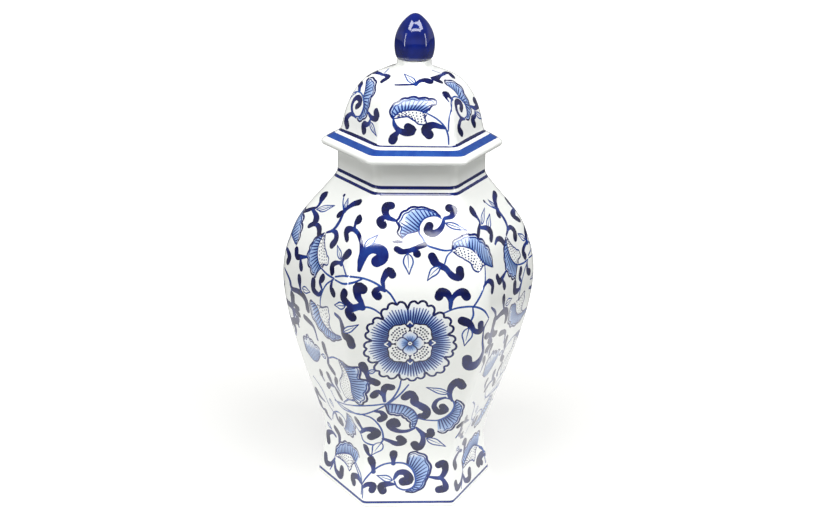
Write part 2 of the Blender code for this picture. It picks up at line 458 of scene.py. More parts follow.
    def belly(self, near: np.ndarray, edge: list[Point], count: int) -> None:
        """The white part of a fan, with its drawn edge and its dots.

        Args:
            near: Points along the fan's hinge.
            edge: Points that the white part's far edge passes through.
            count: Points along each edge.
        """
        far = even_points(edge, count)
        share = np.linspace(0, 1, count)
        low = near + (far - near) * (1 - 0.09 * (1 - np.abs(np.sin(math.pi * 6 * share)) ** 0.6))[:, None]
        self.fill(np.vstack([near, low[::-1]]), even(0.0))
        self.line([tuple(p) for p in low[::2]], (0.46, 0.6, 0.46), (0.9, 0.86, 0.9), step=1.0)
        length = np.linalg.norm(np.diff(low, axis=0), axis=1).sum()
        for row, lean in ((0.2, 0.0), (0.42, 0.5), (0.62, 0.0), (0.8, 0.5)):
            spots = max(3, int(length * (0.6 + row * 0.4) / 2.3))
            for k in range(spots):
                mark = (k + 0.7 + lean * 0.8) / (spots + 1.0) * (count - 1)
                one, two = (np.array([np.interp(mark, range(count), r[:, i]) for i in (0, 1)]) for r in (near,
                                                                                                         low))
                if np.linalg.norm(two - one) > 2.6:
                    self.dot(tuple(one + (two - one) * row), 0.54 + 0.1 * self.hand.random(), 0.94, 6)

    def flower(self, centre: Point, radius: float) -> None:
        """The round flower: nine scalloped petals, a dotted four-lobed heart and a small bloom.

        Args:
            centre: Its middle.
            radius: Its radius, out to the tips of its longest petals.
        """
        middle = np.array(centre)
        petals, stripes, first = 9, 8, math.radians(95)
        angles = np.linspace(0, 2 * math.pi, 217)
        part = (angles * petals / (2 * math.pi)) % 1.0
        tall = 0.125 + 0.03 * np.sin(2.6 * (angles * petals / (2 * math.pi)).astype(int) + 0.8)
        bow = 0.82 + tall * np.sin(math.pi * part) ** 0.5 + 0.068 * np.abs(np.sin(3 * math.pi * part)) ** 0.75
        spread = np.stack([np.cos(angles + first), np.sin(angles + first)], 1)
        rim = middle + radius * bow[:, None] * spread
        rings = [middle + radius * k * spread[::6] for k in (0.55, 0.66, 0.76, 0.86)]
        stops = tuple(radius * k for k in (0, 0.5, 0.62, 0.74, 0.84, 1))
        wash = radial(centre, stops, (0.72, 0.6, 0.46, 0.26, 0.04, 0.0))
        self.fill(rim[:-1], wash, np.vstack(rings))
        for k in range(petals):
            edge = first + k * 2 * math.pi / petals
            for j in range(1, stripes + 1):
                lean = edge + (j + 0.2 * self.hand.random()) / (stripes + 1.1) * 2 * math.pi / petals
                out = 0.75 + 0.1 * math.sin(math.pi * j / (stripes + 1)) + 0.05 * self.hand.random()
                self.ray(centre, lean, radius * 0.46, radius * out, (0.42, 0.62, 0.34), 0.96)
            self.ray(centre, edge, radius * 0.44, radius * 0.87, (0.66, 0.66), 0.96)
        self.line([tuple(p) for p in rim[::2]], (0.84, 0.8, 0.84), (1.0, 0.94, 1.0), closed=True, step=1.1)
        turn = math.radians(2)
        swell = radius * (0.45 + 0.085 * np.abs(np.cos(2 * (angles - math.pi / 4))) ** 0.8)
        ground = middle + swell[:, None] * np.stack([np.cos(angles + turn), np.sin(angles + turn)], 1)
        self.fill(ground[:-1:2], even(0.84))
        for k in range(4):
            lean = turn + math.pi / 4 + k * math.pi / 2
            self.heart_lobe(middle, lean, radius)
            self.chevron(middle, lean + math.pi / 4, radius * 0.5)
        for k in range(4):
            self.petal(middle, turn + k * math.pi / 2, radius * 0.3, radius * 0.27)
        self.dot(centre, radius * 0.06, 0.95, 12)
        self.dot(centre, radius * 0.044, 0.0, 10)
        self.dot(centre, radius * 0.02, 0.98, 7)

    def ray(self, centre: Point, angle: float, near: float, far: float, half: Iterable[float],
            tone: float) -> None:
        """A straight mark pointing away from a centre.

        Args:
            centre: The centre.
            angle: Its direction.
            near: Distance of its near end.
            far: Distance of its far end.
            half: Half widths along it.
            tone: Ink at its near end.
        """
        way = np.array([math.cos(angle), math.sin(angle)])
        ends = [tuple(np.array(centre) + way * near), tuple(np.array(centre) + way * far)]
        self.line(ends, half, (tone, tone * 0.85), step=3.0)

    def heart_lobe(self, middle: np.ndarray, lean: float, radius: float) -> None:
        """One white dotted lobe of the flower's heart, with small scallops round it.

        Args:
            middle: The flower's middle.
            lean: The lobe's direction.
            radius: The flower's radius.
        """
        way = np.array([math.cos(lean), math.sin(lean)])
        side = np.array([-way[1], way[0]])
        angles = np.linspace(0, 2 * math.pi, 73)[:-1]
        lobes = 1 + 0.12 * np.abs(np.sin(4 * angles)) ** 0.7
        square = 1 + 0.12 * np.cos(4 * angles)
        spread = np.outer(np.cos(angles) * lobes * square * 0.185,
                          way) + np.outer(np.sin(angles) * lobes * 0.25, side)
        edge = middle + way * radius * 0.34 + spread * radius
        self.fill(edge, even(0.0))
        self.line([tuple(p) for p in np.vstack([edge[::2], edge[:1]])], (0.5, 0.5), (1.0, 1.0), closed=True,
                  step=1.0)
        for ring, count in ((0.255, 4), (0.32, 6), (0.385, 7), (0.45, 5)):
            for k in range(count):
                swing = (k / (count - 1) - 0.5) * (1.0 if ring < 0.42 else 0.5)
                spot = middle + radius * ring * np.array([math.cos(lean + swing), math.sin(lean + swing)])
                self.dot(tuple(spot), radius * 0.023, 1.0, 6)

    def chevron(self, middle: np.ndarray, lean: float, reach: float) -> None:
        """A small white arrowhead between two lobes.

        Args:
            middle: The flower's middle.
            lean: The arrowhead's direction.
            reach: Its distance from the middle.
        """
        way = np.array([math.cos(lean), math.sin(lean)])
        side = np.array([-way[1], way[0]])
        tip = middle + way * (reach + 1.2)
        for k in (1.7, -1.7):
            self.line([tuple(middle + way * (reach - 1.0) + side * k), tuple(tip)], (0.4, 0.55), (0.0, 0.0),
                      step=2.0)

    def petal(self, middle: np.ndarray, lean: float, length: float, width: float) -> None:
        """One petal of the small bloom, blue at the heart and white at the tip.

        Args:
            middle: The bloom's middle.
            lean: The petal's direction.
            length: Its length.
            width: Its width.
        """
        way = np.array([math.cos(lean), math.sin(lean)])
        side = np.array([-way[1], way[0]])
        share = np.linspace(0, 1, 12)
        half = width * 0.58 * np.sin(math.pi * share**1.25) ** 0.7
        left = middle + np.outer(share * length, way) + np.outer(half, side)
        right = middle + np.outer(share * length, way) - np.outer(half, side)
        shade = radial(tuple(middle), (0, length * 0.4, length * 0.7, length), (0.82, 0.5, 0.14, 0.0))
        self.fill(np.vstack([left, right[::-1][1:-1]]), shade, middle + np.outer(share[3:10:2] * length, way))
        for edge in (left, right):
            self.line([tuple(p) for p in edge[::2]], (0.4, 0.5, 0.5), (1.0, 0.94), step=1.2)
        for k in (-0.3, 0.0, 0.3):
            self.ray(tuple(middle), lean + k, length * 0.22, length * 0.62, (0.3, 0.12), 0.86)


def pairs(flat: Iterable[float]) -> list[Point]:
    """Points from a run of across and up values."""
    values = list(flat)
    return list(zip(values[::2], values[1::2]))


def even_points(points: list[Point], count: int) -> np.ndarray:
    """Evenly spaced points on a smooth line.

    Args:
        points: Points that the line passes through.
        count: How many to give.

    Returns:
        The points, the line's two ends among them.
    """
    line = smooth(np.array(points, float), 10) if len(points) > 2 else np.array(points, float)
    gap = np.concatenate([[0], np.cumsum(np.linalg.norm(np.diff(line, axis=0), axis=1))])
    marks = np.linspace(0, gap[-1], count)
    return np.stack([np.interp(marks, gap, line[:, i]) for i in (0, 1)], 1)


# ---------------------------------------------------------------- skins


class Band(NamedTuple):
    """A painted ring: from and to along the section, in mm, and its ink."""

    low: float
    high: float
    tone: float


def covered(points: np.ndarray, ring: np.ndarray) -> np.ndarray:
    """Tells which points lie inside a ring.

    Args:
        points: The points.
        ring: The corners of a closed ring.

    Returns:
        True for each point that the ring winds round.
    """
    start, end = ring, np.roll(ring, -1, axis=0)
    x, y = points[:, :1], points[:, 1:]
    left = (end[:, 0] - start[:, 0]) * (y - start[:, 1]) - (x - start[:, 0]) * (end[:, 1] - start[:, 1])
    up = (start[:, 1] <= y) & (end[:, 1] > y) & (left > 0)
    down = (start[:, 1] > y) & (end[:, 1] <= y) & (left < 0)
    return (up.sum(axis=1) - down.sum(axis=1)) != 0


class Skin:
    """The unrolled outside of a piece, cut into triangles along its brushwork."""

    # Columns on half of one side, as shares of its width. They crowd where the corner bends.
    COLUMNS = (0.0, 0.1, 0.2, 0.29, 0.355, 0.395, 0.42, 0.445, 0.47, 0.49)

    def __init__(self, section: Section, spread: float, longest: float) -> None:
        """Keeps the skin's sizes.

        Args:
            section: The section that it is rolled round.
            spread: Width of one side on the unrolled skin, in mm.
            longest: The longest step from row to row, in mm.
        """
        self.section = section
        self.spread = spread
        self.longest = longest

    @classmethod
    def columns(cls) -> np.ndarray:
        """Places round the jar where the skin has a column.

        Returns:
            The places, in sides, from seam to seam.
        """
        half = [*cls.COLUMNS, 0.5]
        side = sorted({-k for k in half} | set(half))[1:]
        return np.array([SEAM] + [s + k for s in range(-3, 3) for k in side])

    def flat(self, stroke: Stroke, points: np.ndarray) -> np.ndarray:
        """A stroke's points on the unrolled skin, kept off its borders.

        Args:
            stroke: The stroke.
            points: Points on its side.

        Returns:
            The same points, in mm from the middle of the front and along the section.
        """
        run = np.clip(points[:, 1], BORDER, self.section.length - BORDER)
        turn = stroke.side + points[:, 0] / self.section.width(run)
        turn = np.clip(turn, SEAM + SEAM_GAP, SEAM + SIDES - SEAM_GAP)
        return np.stack([turn * self.spread, run], 1)

    def over_seam(self, strokes: list[Stroke]) -> list[Stroke]:
        """Repeats each stroke that crosses the seam on the skin's other end.

        Args:
            strokes: The strokes.

        Returns:
            The strokes, with the second copies among them.
        """
        out = []
        for stroke in strokes:
            out.append(stroke)
            run = np.clip(stroke.edge[:, 1], BORDER, self.section.length - BORDER)
            turn = stroke.side + stroke.edge[:, 0] / self.section.width(run)
            if turn.min() < SEAM + SEAM_GAP:
                out.append(stroke._replace(side=stroke.side + SIDES))
            if turn.max() > SEAM + SIDES - SEAM_GAP:
                out.append(stroke._replace(side=stroke.side - SIDES))
        return out

    def cut(self, strokes: list[Stroke], bands: list[Band]) -> tuple[np.ndarray, np.ndarray, np.ndarray]:
        """Triangulates the skin along every stroke and band.

        Args:
            strokes: Brush marks, the lowest first.
            bands: Painted rings, under the strokes.

        Returns:
            Flat points, triangles, and ink at each triangle's three corners.
        """
        section = self.section
        strokes = self.over_seam(strokes)
        rows = section.courses(self.longest, MOST_BEND)
        edges_at = np.array([b for band in bands for b in (band.low, band.high)])
        near = np.abs(rows[:, None] - edges_at[None]).min(axis=1) < 0.3
        near[0] = near[-1] = False
        rows = np.sort(np.concatenate([rows[~near], edges_at]))
        columns = self.columns() * self.spread
        grid = np.stack(np.meshgrid(columns, rows), -1).reshape(-1, 2)
        points, edges = [grid], []
        wide, tall = len(columns), len(rows)
        for j, row in enumerate(rows):
            if np.abs(edges_at - row).min() < 1e-6:
                edges += [(j * wide + i, j * wide + i + 1) for i in range(wide - 1)]
        edges += [(j * wide, (j + 1) * wide) for j in range(tall - 1)]
        edges += [(j * wide + wide - 1, (j + 2) * wide - 1) for j in range(tall - 1)]
        edges += [(i, i + 1) for i in range(wide - 1)]
        edges += [((tall - 1) * wide + i, (tall - 1) * wide + i + 1) for i in range(wide - 1)]
        total = len(grid)
        rings = []
        for stroke in strokes:
            ring = self.flat(stroke, stroke.edge)
            rings.append(ring)
            count = len(ring)
            edges += [(total + i, total + (i + 1) % count) for i in range(count)]
            points.append(ring)
            total += count
            if len(stroke.inside):
                points.append(self.flat(stroke, stroke.inside))
                total += len(stroke.inside)
        flat = np.vstack(points)
        LOG.info("cutting %d points and %d edges", len(flat), len(edges))
        made = delaunay_2d_cdt([Vector(p) for p in flat.tolist()], edges, [], 0, 1e-5)
        places = np.array([tuple(p) for p in made[0]])
        faces = np.array([f for f in made[2] if len(f) == 3])
        return places, faces, self.ink(places, faces, strokes, rings, bands)

    def ink(self, places: np.ndarray, faces: np.ndarray, strokes: list[Stroke], rings: list[np.ndarray],
            bands: list[Band]) -> np.ndarray:
        """Inks the triangles, each from the topmost stroke that covers it.

        Args:
            places: Flat points.
            faces: Triangles, as rows of three points.
            strokes: Brush marks, the lowest first.
            rings: Each stroke's edge on the unrolled skin.
            bands: Painted rings, under the strokes.

        Returns:
            Ink at each triangle's three corners.
        """
        centres = places[faces].mean(axis=1)
        ink = np.zeros(faces.shape)
        for band in bands:
            inside = (centres[:, 1] > band.low) & (centres[:, 1] < band.high)
            ink[inside] = band.tone
        order = np.argsort(centres[:, 0])
        sorted_x = centres[order, 0]
        width = self.section.width(places[:, 1])
        for stroke, ring in zip(strokes, rings):
            low, high = ring.min(axis=0), ring.max(axis=0)
            first, last = np.searchsorted(sorted_x, (low[0], high[0]))
            near = order[first:last]
            near = near[(centres[near, 1] > low[1]) & (centres[near, 1] < high[1])]
            hit = near[covered(centres[near], ring)]
            if not len(hit):
                continue
            corners = faces[hit].ravel()
            across = (places[corners, 0] / self.spread - stroke.side) * width[corners]
            local = np.stack([across, places[corners, 1]], 1)
            ink[hit] = stroke.shade(local).reshape(-1, 3)
        return ink


class Piece:
    """Builds one closed hexagonal shell: a painted skin with plain rings joined to its ends."""

    MEND = 0.002  # mm, points this close along the seam are one point
    JOIN = 0.02  # mm, and so are points this close where two rings meet

    def __init__(self, name: str) -> None:
        """Starts an empty mesh with layers for the turn, the normal, the ink and the chart.

        Args:
            name: The piece's name.
        """
        self.name = name
        self.mesh = bmesh.new()
        self.turn = self.mesh.verts.layers.float.new("turn")
        self.normal = self.mesh.verts.layers.float_vector.new("lie")
        self.ink = self.mesh.loops.layers.float.new(INK)
        self.chart = self.mesh.loops.layers.uv.new(UV)

    def lay_skin(self, skin: Skin, strokes: list[Stroke], bands: list[Band]) -> tuple[Edges, Edges]:
        """Cuts a skin along its painting, rolls it round its section and adds it.

        Args:
            skin: The skin.
            strokes: Its brush marks, the lowest first.
            bands: Its painted rings.

        Returns:
            The edges of its lower and its upper border.
        """
        places, faces, ink = skin.cut(strokes, bands)
        turn = places[:, 0] / skin.spread
        where, normal = wrap(turn, skin.section.at(places[:, 1]), skin.section.slope_at(places[:, 1]))
        verts = []
        for spot, way, t in zip(where.tolist(), normal.tolist(), turn.tolist()):
            vert = self.mesh.verts.new(spot)
            vert[self.turn] = t
            vert[self.normal] = way
            verts.append(vert)
        rise = CHART_FOOT + (1 - CHART_FOOT) * places[:, 1] / skin.section.length
        charts = np.stack([(turn - SEAM) / SIDES, rise], 1).tolist()
        for corners, tones in zip(faces.tolist(), ink.tolist()):
            face = self.mesh.faces.new([verts[i] for i in corners])
            for loop, i, tone in zip(face.loops, corners, tones):
                loop[self.ink] = tone
                loop[self.chart].uv = charts[i]
        run = places[:, 1]
        seam = [v for v, t in zip(verts, turn) if min(abs(t - SEAM), abs(t - SEAM - SIDES)) < 1e-4]
        low_marks = {v for v, r in zip(verts, run) if r < 1e-4}
        high_marks = {v for v, r in zip(verts, run) if r > skin.section.length - 1e-4}
        bmesh.ops.remove_doubles(self.mesh, verts=seam, dist=self.MEND * MM)
        low_marks = {v for v in low_marks if v.is_valid}
        high_marks = {v for v in high_marks if v.is_valid}
        borders = [e for e in self.mesh.edges if e.is_boundary]
        lower = [e for e in borders if set(e.verts) <= low_marks]
        upper = [e for e in borders if set(e.verts) <= high_marks]
        LOG.info("%s: %d open edges off its borders", self.name, len(borders) - len(lower) - len(upper))
        return lower, upper

    def start_ring(self, station: Station, columns: np.ndarray) -> Edges:
        """A first ring of vertices.

        Args:
            station: Where on the section it lies.
            columns: Places round the ring, seam to seam.

        Returns:
            Its edges.
        """
        ring = []
        for turn in columns[:-1]:
            vert = self.mesh.verts.new()
            vert[self.turn] = turn
            ring.append(vert)
        self.place(ring, station)
        return [self.mesh.edges.new((a, b)) for a, b in zip(ring, ring[1:] + ring[:1])]

    def place(self, verts: list[bmesh.types.BMVert], station: Station) -> None:
        """Puts vertices on the ring of a station.

        Args:
            verts: The vertices, which know their places round it.
            station: The station.
        """
        turn = np.array([v[self.turn] for v in verts])
        rows = np.tile(np.array(tuple(station), float), (len(verts), 1))
        spots = wrap(turn, rows, np.tile((1.0, 0.0, 0.0), (len(verts), 1)))[0]
        for vert, spot in zip(verts, spots.tolist()):
            vert.co = spot

    def extend(self, edges: Edges, stations: Iterable[Station]) -> Edges:
        """Extrudes a border through stations.

        Args:
            edges: The border's edges.
            stations: The stations in order.

        Returns:
            The edges of the last ring.
        """
        for station in stations:
            made = bmesh.ops.extrude_edge_only(self.mesh, edges=edges)["geom"]
            verts = [g for g in made if isinstance(g, bmesh.types.BMVert)]
            fresh = set(verts)
            for vert in verts:
                vert[self.normal] = (0, 0, 0)
            self.place(verts, station)
            edges = [g for g in made if isinstance(g, bmesh.types.BMEdge) and set(g.verts) <= fresh]
        return edges

    def cap(self, edges: Edges) -> None:
        """Closes a ring."""
        bmesh.ops.edgeloop_fill(self.mesh, edges=edges)

    def join_ends(self, one: Edges, other: Edges) -> None:
        """Joins two rings that lie on each other."""
        verts = list({v for e in one + other for v in e.verts})
        bmesh.ops.remove_doubles(self.mesh, verts=verts, dist=self.JOIN * MM)

    def chart_plain(self) -> None:
        """Charts the faces that aren't painted skin, in the strip below it."""
        tallest = max(v.co.z for v in self.mesh.verts)
        for face in self.mesh.faces:
            if face.loops[0][self.chart].uv.y >= CHART_FOOT:
                continue
            turns = [loop.vert[self.turn] for loop in face.loops]
            wide = max(turns) - min(turns) > SIDES / 2
            for loop, turn in zip(face.loops, turns):
                if len(face.verts) > 2 * SIDES:
                    loop[self.chart].uv = (0.05 + loop.vert.co.x * 0.4, 0.05 + loop.vert.co.y * 0.4)
                    continue
                full = turn + SIDES if wide and turn < 0 else turn
                depth = loop.vert.co.z / tallest + math.hypot(loop.vert.co.x, loop.vert.co.y) * 2
                loop[self.chart].uv = ((full - SEAM) / SIDES, 0.1 + 0.06 * depth)

    def finish(self, materials: list[bpy.types.Material],
               biscuit: Optional[Callable] = None) -> bpy.types.Object:
        """Turns the mesh into an object.

        Args:
            materials: Its materials, the glaze first.
            biscuit: Picks the faces of the second material.

        Returns:
            The object, at the origin.
        """
        bmesh.ops.recalc_face_normals(self.mesh, faces=self.mesh.faces)
        self.chart_plain()
        for face in self.mesh.faces:
            face.smooth = True
            if biscuit and biscuit(face):
                face.material_index = 1
        mesh = bpy.data.meshes.new(self.name)
        self.mesh.to_mesh(mesh)
        self.mesh.free()
        for material in materials:
            mesh.materials.append(material)
        lie = np.zeros(len(mesh.vertices) * 3)
        mesh.attributes["lie"].data.foreach_get("vector", lie)
        mesh.normals_split_custom_set_from_vertices(lie.reshape(-1, 3).tolist())
        for spare in ("lie", "turn"):
            mesh.attributes.remove(mesh.attributes[spare])
        obj = bpy.data.objects.new(self.name, mesh)
        bpy.context.scene.collection.objects.link(obj)
        LOG.info("%s: %d vertices, %d faces", self.name, len(mesh.vertices), len(mesh.polygons))
        return obj


# ---------------------------------------------------------------- finishes


def add(tree: bpy.types.NodeTree, kind: str, settings: Optional[dict] = None,
        links: Optional[dict] = None) -> bpy.types.Node:
    """Adds a node.

    Args:
        tree: The node tree.
        kind: The node's type name.
        settings: Its properties, and values of its inputs by name or number.
        links: Output sockets joined to its inputs, by name or number.

    Returns:
        The node.
    """
    node = tree.nodes.new(kind)
    for key, value in (settings or {}).items():
        if isinstance(key, str) and hasattr(node, key):
            setattr(node, key, value)
        else:
            node.inputs[key].default_value = value
    for key, socket in (links or {}).items():
        tree.links.new(socket, node.inputs[key])
    return node


def start_finish(name: str) -> tuple[bpy.types.Material, bpy.types.Node, bpy.types.NodeSocket]:
    """Starts a material.

    Args:
        name: Its name.

    Returns:
        The material, its shader and its Object coordinates.
    """
    material = bpy.data.materials.new(name)
    material.use_nodes = True
    place = add(material.node_tree, "ShaderNodeTexCoord").outputs["Object"]
    return material, material.node_tree.nodes["Principled BSDF"], place


@dataclass(frozen=True)
class ClearGlaze:
    """A fired clear glaze: glass-hard, with a sharp highlight over slow waves left by dipping."""

    roughness: float
    ripple: float  # mm from wave to wave
    depth: float  # mm, how deep the waves are
    strength: float
    ior: float = 1.52
    coat: float = 0.6

    def pour(self, tree: bpy.types.NodeTree, shader: bpy.types.Node, place: bpy.types.NodeSocket) -> None:
        """Puts the glaze over a shader's colour.

        Args:
            tree: The node tree.
            shader: The shader.
            place: Object coordinates.
        """
        waves = add(tree, "ShaderNodeTexNoise", {"Scale": 1 / (self.ripple * MM), "Detail": 1.0},
                    {"Vector": place})
        bump = add(tree, "ShaderNodeBump", {"Strength": self.strength, "Distance": self.depth * MM},
                   {"Height": waves.outputs["Fac"]})
        tree.links.new(bump.outputs["Normal"], shader.inputs["Normal"])
        shader.inputs["Roughness"].default_value = self.roughness
        shader.inputs["IOR"].default_value = self.ior
        shader.inputs["Coat Weight"].default_value = self.coat
        shader.inputs["Coat Roughness"].default_value = self.roughness


@dataclass(frozen=True)
class PaintedGlaze:
    """Porcelain painted in cobalt under a clear glaze: cool white, deep glossy blue lines.

    The eye sees loaded strokes pool darker in places, thin washes that let the white through,
    and the same highlight running over paint and white alike.
    """

    name: str = "painted_glazed_porcelain"
    blues: tuple = (
        (0.0, "F3F5F2"),
        (0.12, "D6E1F2"),
        (0.3, "A3BDE6"),
        (0.48, "6A93CC"),
        (0.64, "3464AE"),
        (0.78, "193D8E"),
        (0.9, "0D1D68"),
        (1.0, "060B3E"),
    )
    pool: float = 9.0  # mm, the size of the darker pools in a loaded brush mark
    load: tuple[float, float] = (0.86, 1.1)  # ink between pools, and in them
    cloud: float = 38.0  # mm, the size of the faint greyer clouds in the white
    cloud_tint: float = 0.965
    glaze: ClearGlaze = ClearGlaze(roughness=0.1, ripple=14.0, depth=0.12, strength=0.35)

    def build(self) -> bpy.types.Material:
        """Makes the material.

        Returns:
            The material.
        """
        material, shader, place = start_finish(self.name)
        tree = material.node_tree
        ink = add(tree, "ShaderNodeAttribute", {"attribute_name": INK}).outputs["Fac"]
        pools = add(tree, "ShaderNodeTexNoise", {"Scale": 1 / (self.pool * MM), "Detail": 3.0,
                                                 "Roughness": 0.6},
                    {"Vector": place})
        thin, thick = self.load
        shift = add(tree, "ShaderNodeMapRange", {"To Min": thin, "To Max": thick},
                    {"Value": pools.outputs["Fac"]})
        loaded = add(tree, "ShaderNodeMath", {"operation": "MULTIPLY", "use_clamp": True},
                     {0: ink, 1: shift.outputs[0]})
        ramp = add(tree, "ShaderNodeValToRGB", links={"Fac": loaded.outputs[0]})
        stops = ramp.color_ramp.elements
        while len(stops) < len(self.blues):
            stops.new(0.5)
        for stop, (where, colour) in zip(stops, self.blues):
            stop.position = where
            stop.color = linear(colour)
        clouds = add(tree, "ShaderNodeTexNoise", {"Scale": 1 / (self.cloud * MM), "Detail": 2.0},
                     {"Vector": place})
        tint = add(tree, "ShaderNodeMapRange", {"To Min": self.cloud_tint, "To Max": 1.0},
                   {"Value": clouds.outputs["Fac"]})
        shade = add(tree, "ShaderNodeMix", {"data_type": "RGBA", "blend_type": "MULTIPLY", 0: 1.0},
                    {6: ramp.outputs["Color"], 7: tint.outputs[0]})
        tree.links.new(shade.outputs[2], shader.inputs["Base Color"])
        self.glaze.pour(tree, shader, place)
        return material


@dataclass(frozen=True)
class CobaltGlaze:
    """Solid cobalt under a thick glossy glaze.

    The eye sees an almost black blue that opens to a brighter one where the cobalt lies thin,
    and a wet, sharp highlight.
    """

    name: str = "cobalt_glaze"
    deep: str = "050B3C"
    thin: str = "0E2688"
    pool: float = 8.0  # mm, the size of the thin places
    glaze: ClearGlaze = ClearGlaze(roughness=0.05, ripple=6.0, depth=0.08, strength=0.3)

    def build(self) -> bpy.types.Material:
        """Makes the material.

        Returns:
            The material.
        """
        material, shader, place = start_finish(self.name)
        tree = material.node_tree
        pools = add(tree, "ShaderNodeTexNoise", {"Scale": 1 / (self.pool * MM), "Detail": 2.0},
                    {"Vector": place})
        blend = add(tree, "ShaderNodeMix", {"data_type": "RGBA", 6: linear(self.deep), 7: linear(self.thin)},
                    {0: pools.outputs["Fac"]})
        tree.links.new(blend.outputs[2], shader.inputs["Base Color"])
        self.glaze.pour(tree, shader, place)
        return material


@dataclass(frozen=True)
class Biscuit:
    """Fired porcelain left bare where the jar stands: chalky, slightly toasted, speckled."""

    name: str = "bare_biscuit_porcelain"
    pale: str = "E9E2D2"
    toasted: str = "C9B394"
    grain: float = 0.9  # mm, coarser than real grit so that it shows
    depth: float = 0.1  # mm
    roughness: float = 0.75

    def build(self) -> bpy.types.Material:
        """Makes the material.

        Returns:
            The material.
        """
        material, shader, place = start_finish(self.name)
        tree = material.node_tree
        grain = add(tree, "ShaderNodeTexNoise", {"Scale": 1 / (self.grain * MM), "Detail": 4.0},
                    {"Vector": place})
        blend = add(tree, "ShaderNodeMix", {"data_type": "RGBA", 6: linear(self.pale),
                                            7: linear(self.toasted)},
                    {0: grain.outputs["Fac"]})
        bump = add(tree, "ShaderNodeBump", {"Strength": 0.5, "Distance": self.depth * MM},
                   {"Height": grain.outputs["Fac"]})
        tree.links.new(blend.outputs[2], shader.inputs["Base Color"])
        tree.links.new(bump.outputs["Normal"], shader.inputs["Normal"])
        shader.inputs["Roughness"].default_value = self.roughness
        return material


# ---------------------------------------------------------------- the jar's body


@dataclass
class JarBody:
    """The jar's body: a spreading foot, waist, belly, shoulder and neck, painted on six sides.

    Sizes are in mm. The stations run up the outside, from the foot's edge to the mouth.
    """

    mouth: float = 261.2
    wall: float = 5.0
    neck_root: float = 240.2
    foot_line: Band = Band(3.2, 5.0, 0.86)
    neck_lines: tuple[Band, ...] = (Band(-1.9, 0.3, 0.93), Band(2.5, 4.9, 0.96))  # from the neck's root
    unrolled: float = 82.0  # the width of one side on the flat skin
    row_step: float = 3.0
    bare_height: float = 0.25  # faces that lie lower are bare
    seed: int = 11
    stations: tuple = (
        Station(0.3, 57.0, 4.0),
        Station(1.2, 57.6, 4.0),
        Station(10.0, 56.3, 5.0),
        Station(22.0, 54.9, 6.2),
        Station(34.0, 53.8, 7.4),
        Station(48.0, 55.7, 8.8),
        Station(62.0, 59.6, 10.2),
        Station(80.0, 65.1, 12.0),
        Station(105.0, 72.3, 14.0),
        Station(130.0, 78.1, 14.7),
        Station(152.0, 81.5, 15.4),
        Station(166.0, 82.2, 15.7),
        Station(180.0, 80.9, 15.6),
        Station(193.0, 77.5, 15.0),
        Station(206.0, 72.6, 13.9),
        Station(218.0, 64.9, 12.8),
        Station(228.0, 57.2, 11.5),
        Station(236.0, 51.2, 10.0),
        Station(239.6, 48.7, 9.3),
        Station(242.6, 47.4, 9.0),
        Station(246.0, 47.1, 9.0),
        Station(252.0, 47.1, 9.0),
        Station(259.4, 47.1, 9.0),
    )

    def build(self, glaze: bpy.types.Material, biscuit: bpy.types.Material) -> bpy.types.Object:
        """Builds and paints the body.

        Args:
            glaze: The painted glaze.
            biscuit: The bare foot ring's finish.

        Returns:
            The finished piece.
        """
        section = Section(self.stations)
        low = section.run_at(self.foot_line.low)
        neck = section.run_at(self.neck_root)
        bands = [Band(low, low + self.foot_line.high - self.foot_line.low, self.foot_line.tone)]
        bands += [Band(neck + line.low, neck + line.high, line.tone) for line in self.neck_lines]
        brush = Brush(self.seed)
        BodyPainting(brush).paint()
        piece = Piece("jar_body_painted")
        lower, upper = piece.lay_skin(Skin(section, self.unrolled, self.row_step), brush.strokes, bands)
        self.inside(piece, upper)
        self.underneath(piece, lower)
        return piece.finish([glaze, biscuit],
                            lambda face: face.calc_center_median().z < self.bare_height * MM)

    def inside(self, piece: Piece, edges: Edges) -> None:
        """Adds the rounded mouth, the inner wall and the floor.

        Args:
            piece: The body so far.
            edges: Its border at the mouth.
        """
        neck = self.stations[-1]
        inner = neck.flat - self.wall
        rings = [
            Station(self.mouth - 0.8, neck.flat - 0.35, 8.7),
            Station(self.mouth - 0.15, neck.flat - 1.2, 8.0),
            Station(self.mouth, neck.flat - 2.4, 7.0),
            Station(self.mouth - 0.3, inner + 0.8, 5.5),
            Station(self.mouth - 1.6, inner, 4.6),
            Station(244.0, inner, 4.6),
        ]
        for height, flat, corner in self.stations[-6:4:-1]:
            rings.append(Station(height - 1.5, flat - self.wall - 0.6, max(corner - self.wall, 3.0)))
        rings += [Station(24.0, 49.2, 3.0), Station(15.0, 49.0, 3.0), Station(11.2, 47.0, 3.0),
                  Station(9.6, 43.0, 3.0)]
        piece.cap(piece.extend(edges, rings))

    def underneath(self, piece: Piece, edges: Edges) -> None:
        """Adds the bare foot ring and the shallow recess inside it.

        Args:
            piece: The body so far.
            edges: Its border at the foot.
        """
        rings = [
            Station(0.06, 56.5, 3.8),
            Station(0.0, 55.9, 3.6),
            Station(0.0, 50.6, 3.0),
            Station(0.3, 49.9, 3.0),
            Station(2.9, 49.0, 3.0),
            Station(3.6, 47.6, 3.0),
        ]
        piece.cap(piece.extend(edges, rings))


# ---------------------------------------------------------------- the lid


